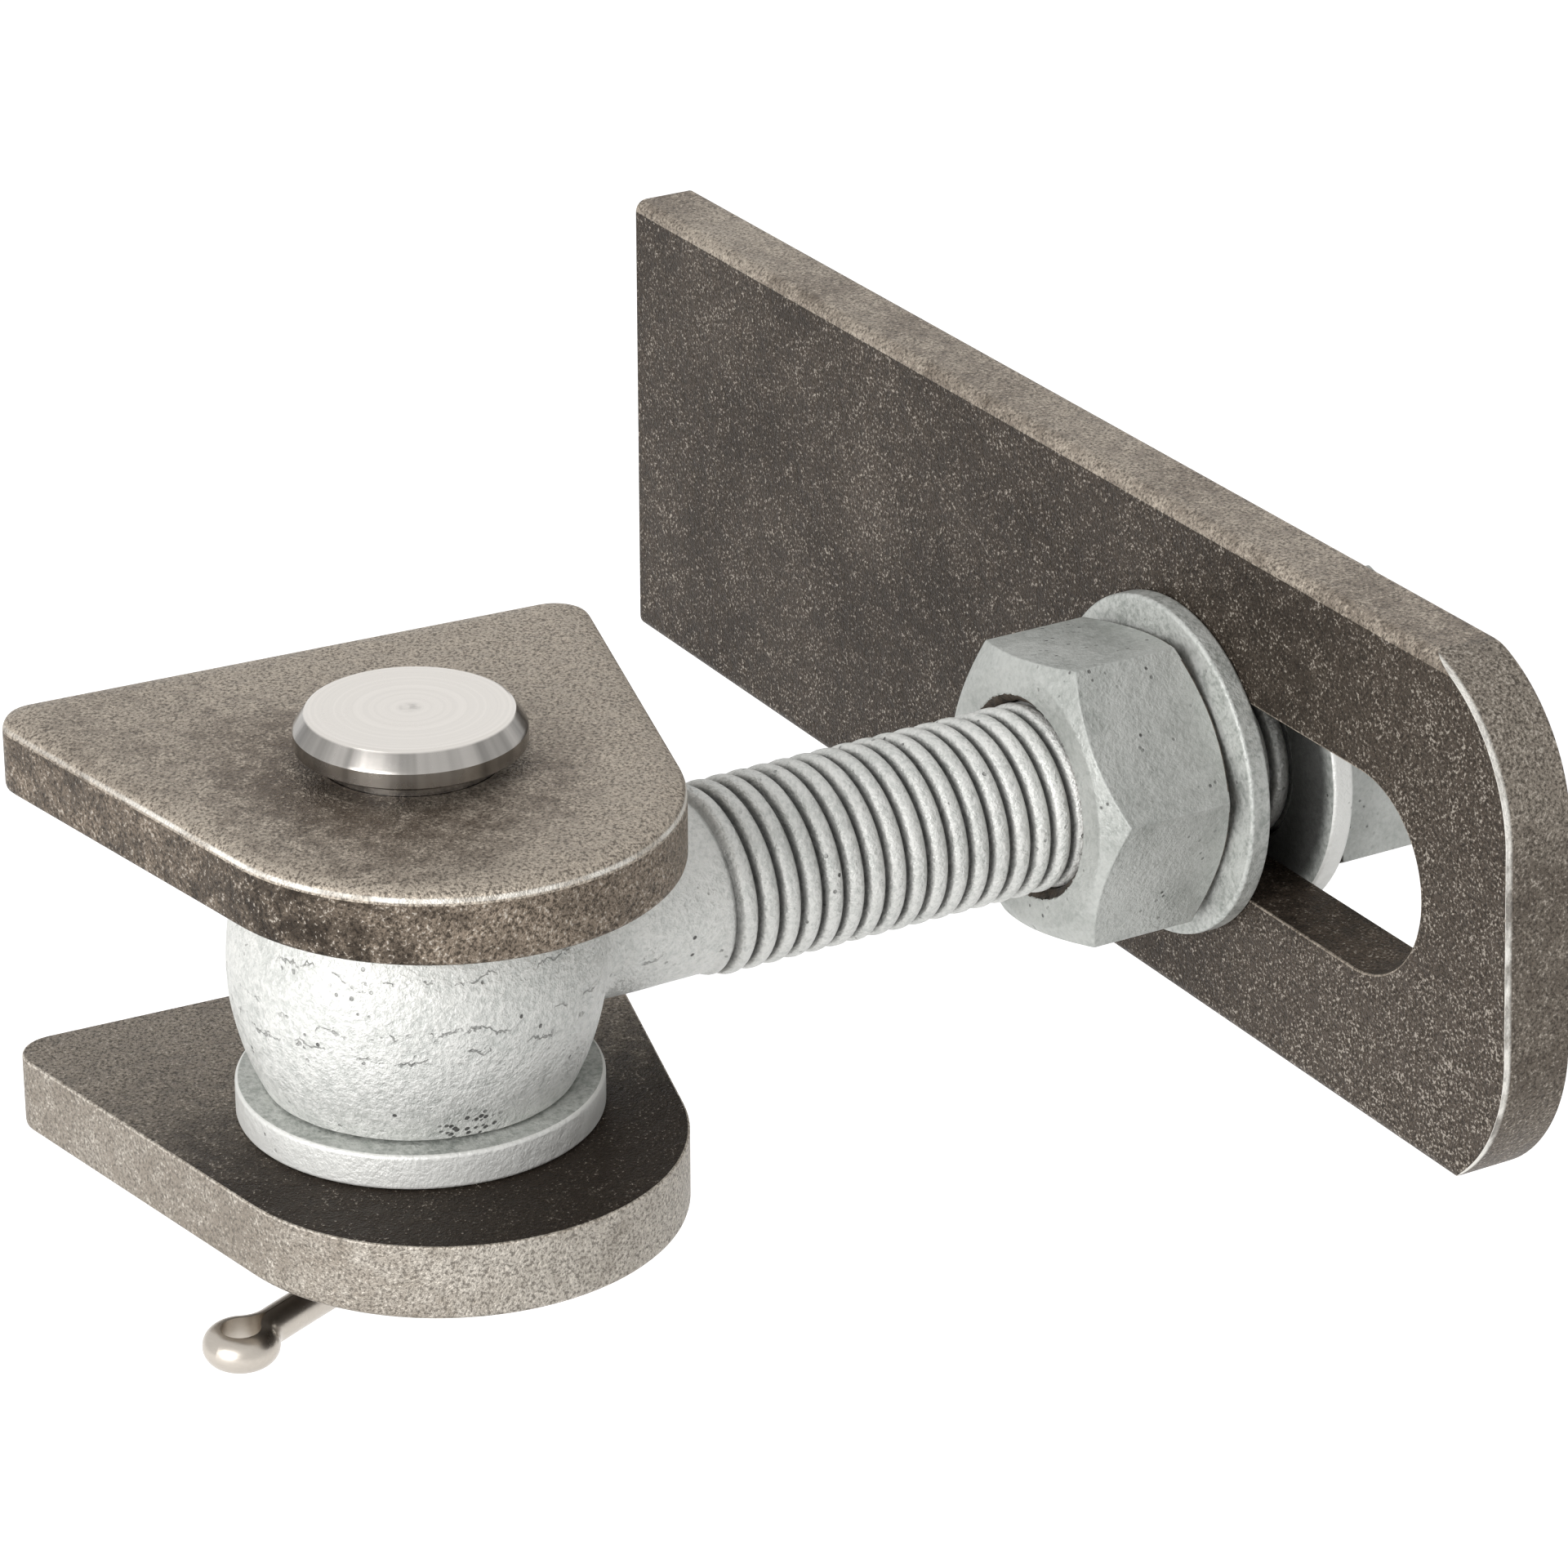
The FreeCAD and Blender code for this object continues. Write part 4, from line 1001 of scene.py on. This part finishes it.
class GATEHINGE_OT_plate(bpy.types.Operator):
    """Slotted plate: soft rolled long edges, crisp punched end and a long slot"""

    bl_idname = "gate_hinge.plate"
    bl_label = "Slotted plate"

    def execute(self, context):
        sizes, colours = settings(context)
        place = ON_BOLT @ shift((sizes.plate_stand_off, 0, 0)) @ XYZ_TO_YZX
        low = sizes.plate_lift + sizes.plate_rise - sizes.plate_height / 2
        high = low + sizes.plate_height
        tip = sizes.slot_outer + sizes.slot_radius + sizes.slot_margin
        square = sizes.plate_length - tip
        far_side = sizes.plate_thickness
        uncut = -1.2 * tip
        bar = [(square, low), (square, high), (uncut, high), (uncut, low)]
        plate = slab("slotted_plate", bar, 0.0, far_side)

        # Ends of each scratch in millimetres along and above the bolt
        scratches = (((50.0, 17.6), (41.4, 12.7)), ((44.0, 15.7), (33.8, 9.1)), ((79.9, -5.1), (79.2, -6.8)))

        # Lighter towards the punched end and more so low down, with a lighter smudge and scratches
        def tones_smudge_and_scratches(f):
            along, up, _ = f.seen_from(place)
            end = f.band(along, -18 * MM, -50 * MM, 0.0, 0.34)
            foot = f.times(f.band(up, 0.0, -24 * MM, 0.0, 0.2), f.band(along, 10 * MM, -25 * MM))
            spot = f.mark(place @ shift((62 * MM, 10 * MM, 0)), (8 * MM, 11 * MM, 8 * MM))
            tone = f.plus(end, foot, f.times(f.band(spot, 0.0, 0.9), 0.3))
            for start, stop in scratches:
                first, last = Vector(start) * MM, Vector(stop) * MM
                middle = place @ shift(((first + last) / 2).to_3d())
                turn = Matrix.Rotation((last - first).angle_signed(Vector((1, 0))), 4, "Z")
                streak = f.mark(middle @ turn, ((last - first).length / 2, 0.22 * MM, MM))
                tone = f.plus(tone, f.band(streak, 0.0, 0.5))
            return tone

        def upper_corner(f):
            _, up, _ = f.seen_from(place)
            return f.band(up, 4 * MM, 25 * MM, -0.05, 0.55)

        # Bright patchy band on the punched end next to its front face: bare steel with a painted highlight
        def bare_and_highlit_lip(f):
            _, _, depth = f.seen_from(place)
            patchy = f.band(f.noise(260, detail=4), 0.36, 0.58, 0.25, 0.95)
            return f.times(f.band(depth, 0.95 * MM, 0.45 * MM), patchy)

        on_face, on_edge, on_rim, on_end, on_wall = range(5)
        dull = [0.6 * part for part in colours.bare_light]
        wear(
            plate,
            raw_steel("plate_scale", colours, colours.scale_dark, colours.scale_light, patch=tones_smudge_and_scratches),
            raw_steel("plate_edge", colours, colours.bare_dark, colours.bare_light, patch=lambda f: 0.1),
            worn_steel("plate_worn_edge", colours, colours.bare_light, cover=0.6),
            raw_steel(
                "plate_punched_end", colours, colours.scale_light, dull, clouding=0.8,
                patch=upper_corner, polish_and_highlight=bare_and_highlit_lip,
            ),
            raw_steel("slot_wall", colours, colours.scale_dark, colours.bare_dark, flecks=-0.03),
        )
        slot_end = -sizes.slot_outer - sizes.slot_radius
        slot_wear = 0.2 * MM
        close = 1e-5
        half_length = sizes.plate_length / 2

        def long_edge(edge, height):
            return level(edge, height) and edge.calc_length() > half_length

        def upper_edge(edge):
            return long_edge(edge, 0.0) and edge.verts[0].co.y > 0

        def lower_edge(edge):
            return long_edge(edge, 0.0) and edge.verts[0].co.y < low / 2

        def end_rim(edge):
            return level(edge, 0.0) and edge.verts[0].co.x < 0 and edge.calc_face_angle(0) > SHARP_TURN

        def in_slot(vertex):
            beside = abs(vertex.co.y - sizes.plate_lift) < sizes.slot_radius + close
            return beside and vertex.co.x > slot_end - close

        def slot_rim(edge):
            inside = all(in_slot(vertex) for vertex in edge.verts)
            ahead = edge.verts[0].co.x < half_length / 2
            return level(edge, 0.0) and inside and ahead and edge.calc_face_angle(0) > SHARP_TURN

        def stamp(name, outline, finish, operation):
            tool = slab(name, outline, -MM, far_side + MM)
            wear(tool, *plate.data.materials)
            paint(tool, finish, lambda part: True)
            cut(plate, tool, operation)

        paint(plate, on_edge, lambda part: abs(part.normal.z) < 0.5)
        bevel(plate, sizes.plate_roll, 6, upper_edge, material=on_edge)
        bevel(plate, sizes.plate_roll, 6, lower_edge, material=on_face)
        bevel(plate, sizes.dressed_rim, 3, lambda edge: long_edge(edge, far_side), material=on_edge)
        stamp("punch_cutter", punch_outline(sizes, low, high, square + MM), on_end, "INTERSECT")
        bevel(plate, sizes.plate_rim, 3, end_rim, material=on_rim)
        rim = arc((-sizes.slot_outer, sizes.plate_lift), sizes.slot_radius, math.pi / 2, 1.5 * math.pi, 40)
        rim += arc((sizes.slot_inner, sizes.plate_lift), sizes.slot_radius, -math.pi / 2, math.pi / 2, 40)
        stamp("slot_cutter", rim, on_wall, "DIFFERENCE")
        bevel(plate, slot_wear, 2, slot_rim, material=on_edge)
        hand_over(plate, "slot_plate", place)
        return {"FINISHED"}


# Studio

def make_floor(studio, colours, lowest):
    """Wide pale floor, white to the camera, that keeps the object's shadow."""
    bpy.ops.mesh.primitive_plane_add(size=FLOOR_SIZE, location=(0, 0, lowest - studio.floor_drop))
    floor = bpy.context.active_object
    floor.name = "studio_floor"
    f = Finish("studio_floor", metallic=0.0, roughness=0.9, gloss=0.0)
    f.shader.inputs["Emission Color"].default_value = (1, 1, 1, 1)
    glow = f.times(f.white_to_camera(), studio.floor_glow)
    f.feed(f.shader.inputs["Emission Strength"], glow)
    wear(floor, f.finish((*colours.floor, 1.0)))


def make_room(studio):
    """World that is white to the camera and gives an even light."""
    world = bpy.data.worlds.new("white_room")
    bpy.context.scene.world = world
    world.use_nodes = True
    room = Nodes(world.node_tree)
    sky = room.tree.nodes["Background"]
    sky.inputs["Color"].default_value = (1, 1, 1, 1)
    strength = room.add(
        "ShaderNodeMapRange", value=room.white_to_camera(), to_min=studio.room_light, to_max=1.0,
    )
    room.feed(sky.inputs["Strength"], strength.outputs["Result"])


def lamp(name, watts, place, aim, mirrored=True):
    """Square soft lamp that points at a place; metal shows it where it is mirrored."""
    light = bpy.data.lights.new(name, "AREA")
    light.energy = watts
    light.size = LAMP_SIZE
    holder = bpy.data.objects.new(name, light)
    holder.location = place
    holder.visible_glossy = mirrored
    holder.rotation_euler = (Vector(aim) - Vector(place)).to_track_quat("-Z", "Y").to_euler()
    bpy.context.scene.collection.objects.link(holder)


class GATEHINGE_OT_studio(bpy.types.Operator):
    """White studio: floor, room light, soft lamps and the photograph's camera"""

    bl_idname = "gate_hinge.studio"
    bl_label = "Studio"

    def execute(self, context):
        scene = context.scene
        studio, colours = scene.hinge_studio, scene.hinge_colours
        scene.view_settings.view_transform = "Standard"
        clear_selection()
        make_floor(studio, colours, CAD_BOX[0][2])
        make_room(studio)
        aim = Vector(studio.aim)
        lamp("overhead_lamp", studio.overhead_watts, OVERHEAD_PLACE, aim, mirrored=False)
        lamp("side_lamp", studio.side_watts, SIDE_PLACE, aim)
        camera = bpy.data.objects.new("photo_camera", bpy.data.cameras.new("photo_camera"))
        camera.data.lens = studio.lens
        camera.data.sensor_width = SENSOR_WIDTH
        camera.data.clip_start = 0.01
        flat = math.cos(studio.elevation)
        back = Vector((
            math.sin(studio.azimuth) * flat, -math.cos(studio.azimuth) * flat, math.sin(studio.elevation),
        ))
        camera.location = aim + studio.distance * back
        camera.rotation_euler = (-back).to_track_quat("-Z", "Y").to_euler()
        scene.collection.objects.link(camera)
        scene.camera = camera
        return {"FINISHED"}


class GATEHINGE_PT_panel(bpy.types.Panel):
    """Settings and steps of the gate hinge"""

    bl_idname = "GATEHINGE_PT_panel"
    bl_label = "Gate hinge"
    bl_space_type = "VIEW_3D"
    bl_region_type = "UI"
    bl_category = "Gate hinge"

    def draw(self, context):
        for step in STEPS:
            self.layout.operator(step.bl_idname)
        for name, group in SETTINGS.items():
            box = self.layout.box()
            for setting in group.__annotations__:
                box.prop(getattr(context.scene, name), setting)


SETTINGS = {"hinge_sizes": HingeSizes, "hinge_colours": HingeColours, "hinge_studio": HingeStudio}
STEPS = (
    GATEHINGE_OT_ears,
    GATEHINGE_OT_pin,
    GATEHINGE_OT_eye_bolt,
    GATEHINGE_OT_nuts,
    GATEHINGE_OT_rings,
    GATEHINGE_OT_plate,
    GATEHINGE_OT_studio,
)
CLASSES = (*SETTINGS.values(), *STEPS, GATEHINGE_PT_panel)


def register():
    """Make the settings, steps and panel known to Blender."""
    for item in CLASSES:
        bpy.utils.register_class(item)
    for name, group in SETTINGS.items():
        setattr(bpy.types.Scene, name, PointerProperty(type=group))


def unregister():
    """Take the settings, steps and panel out again."""
    for name in SETTINGS:
        delattr(bpy.types.Scene, name)
    for item in reversed(CLASSES):
        bpy.utils.unregister_class(item)


def main():
    """Build every piece and the studio."""
    register()
    clear_selection()
    bpy.ops.gate_hinge.ears()
    bpy.ops.gate_hinge.pin()
    bpy.ops.gate_hinge.eye_bolt()
    bpy.ops.gate_hinge.nuts()
    bpy.ops.gate_hinge.rings()
    bpy.ops.gate_hinge.plate()
    bpy.ops.gate_hinge.studio()


if __name__ == "__main__":
    main()
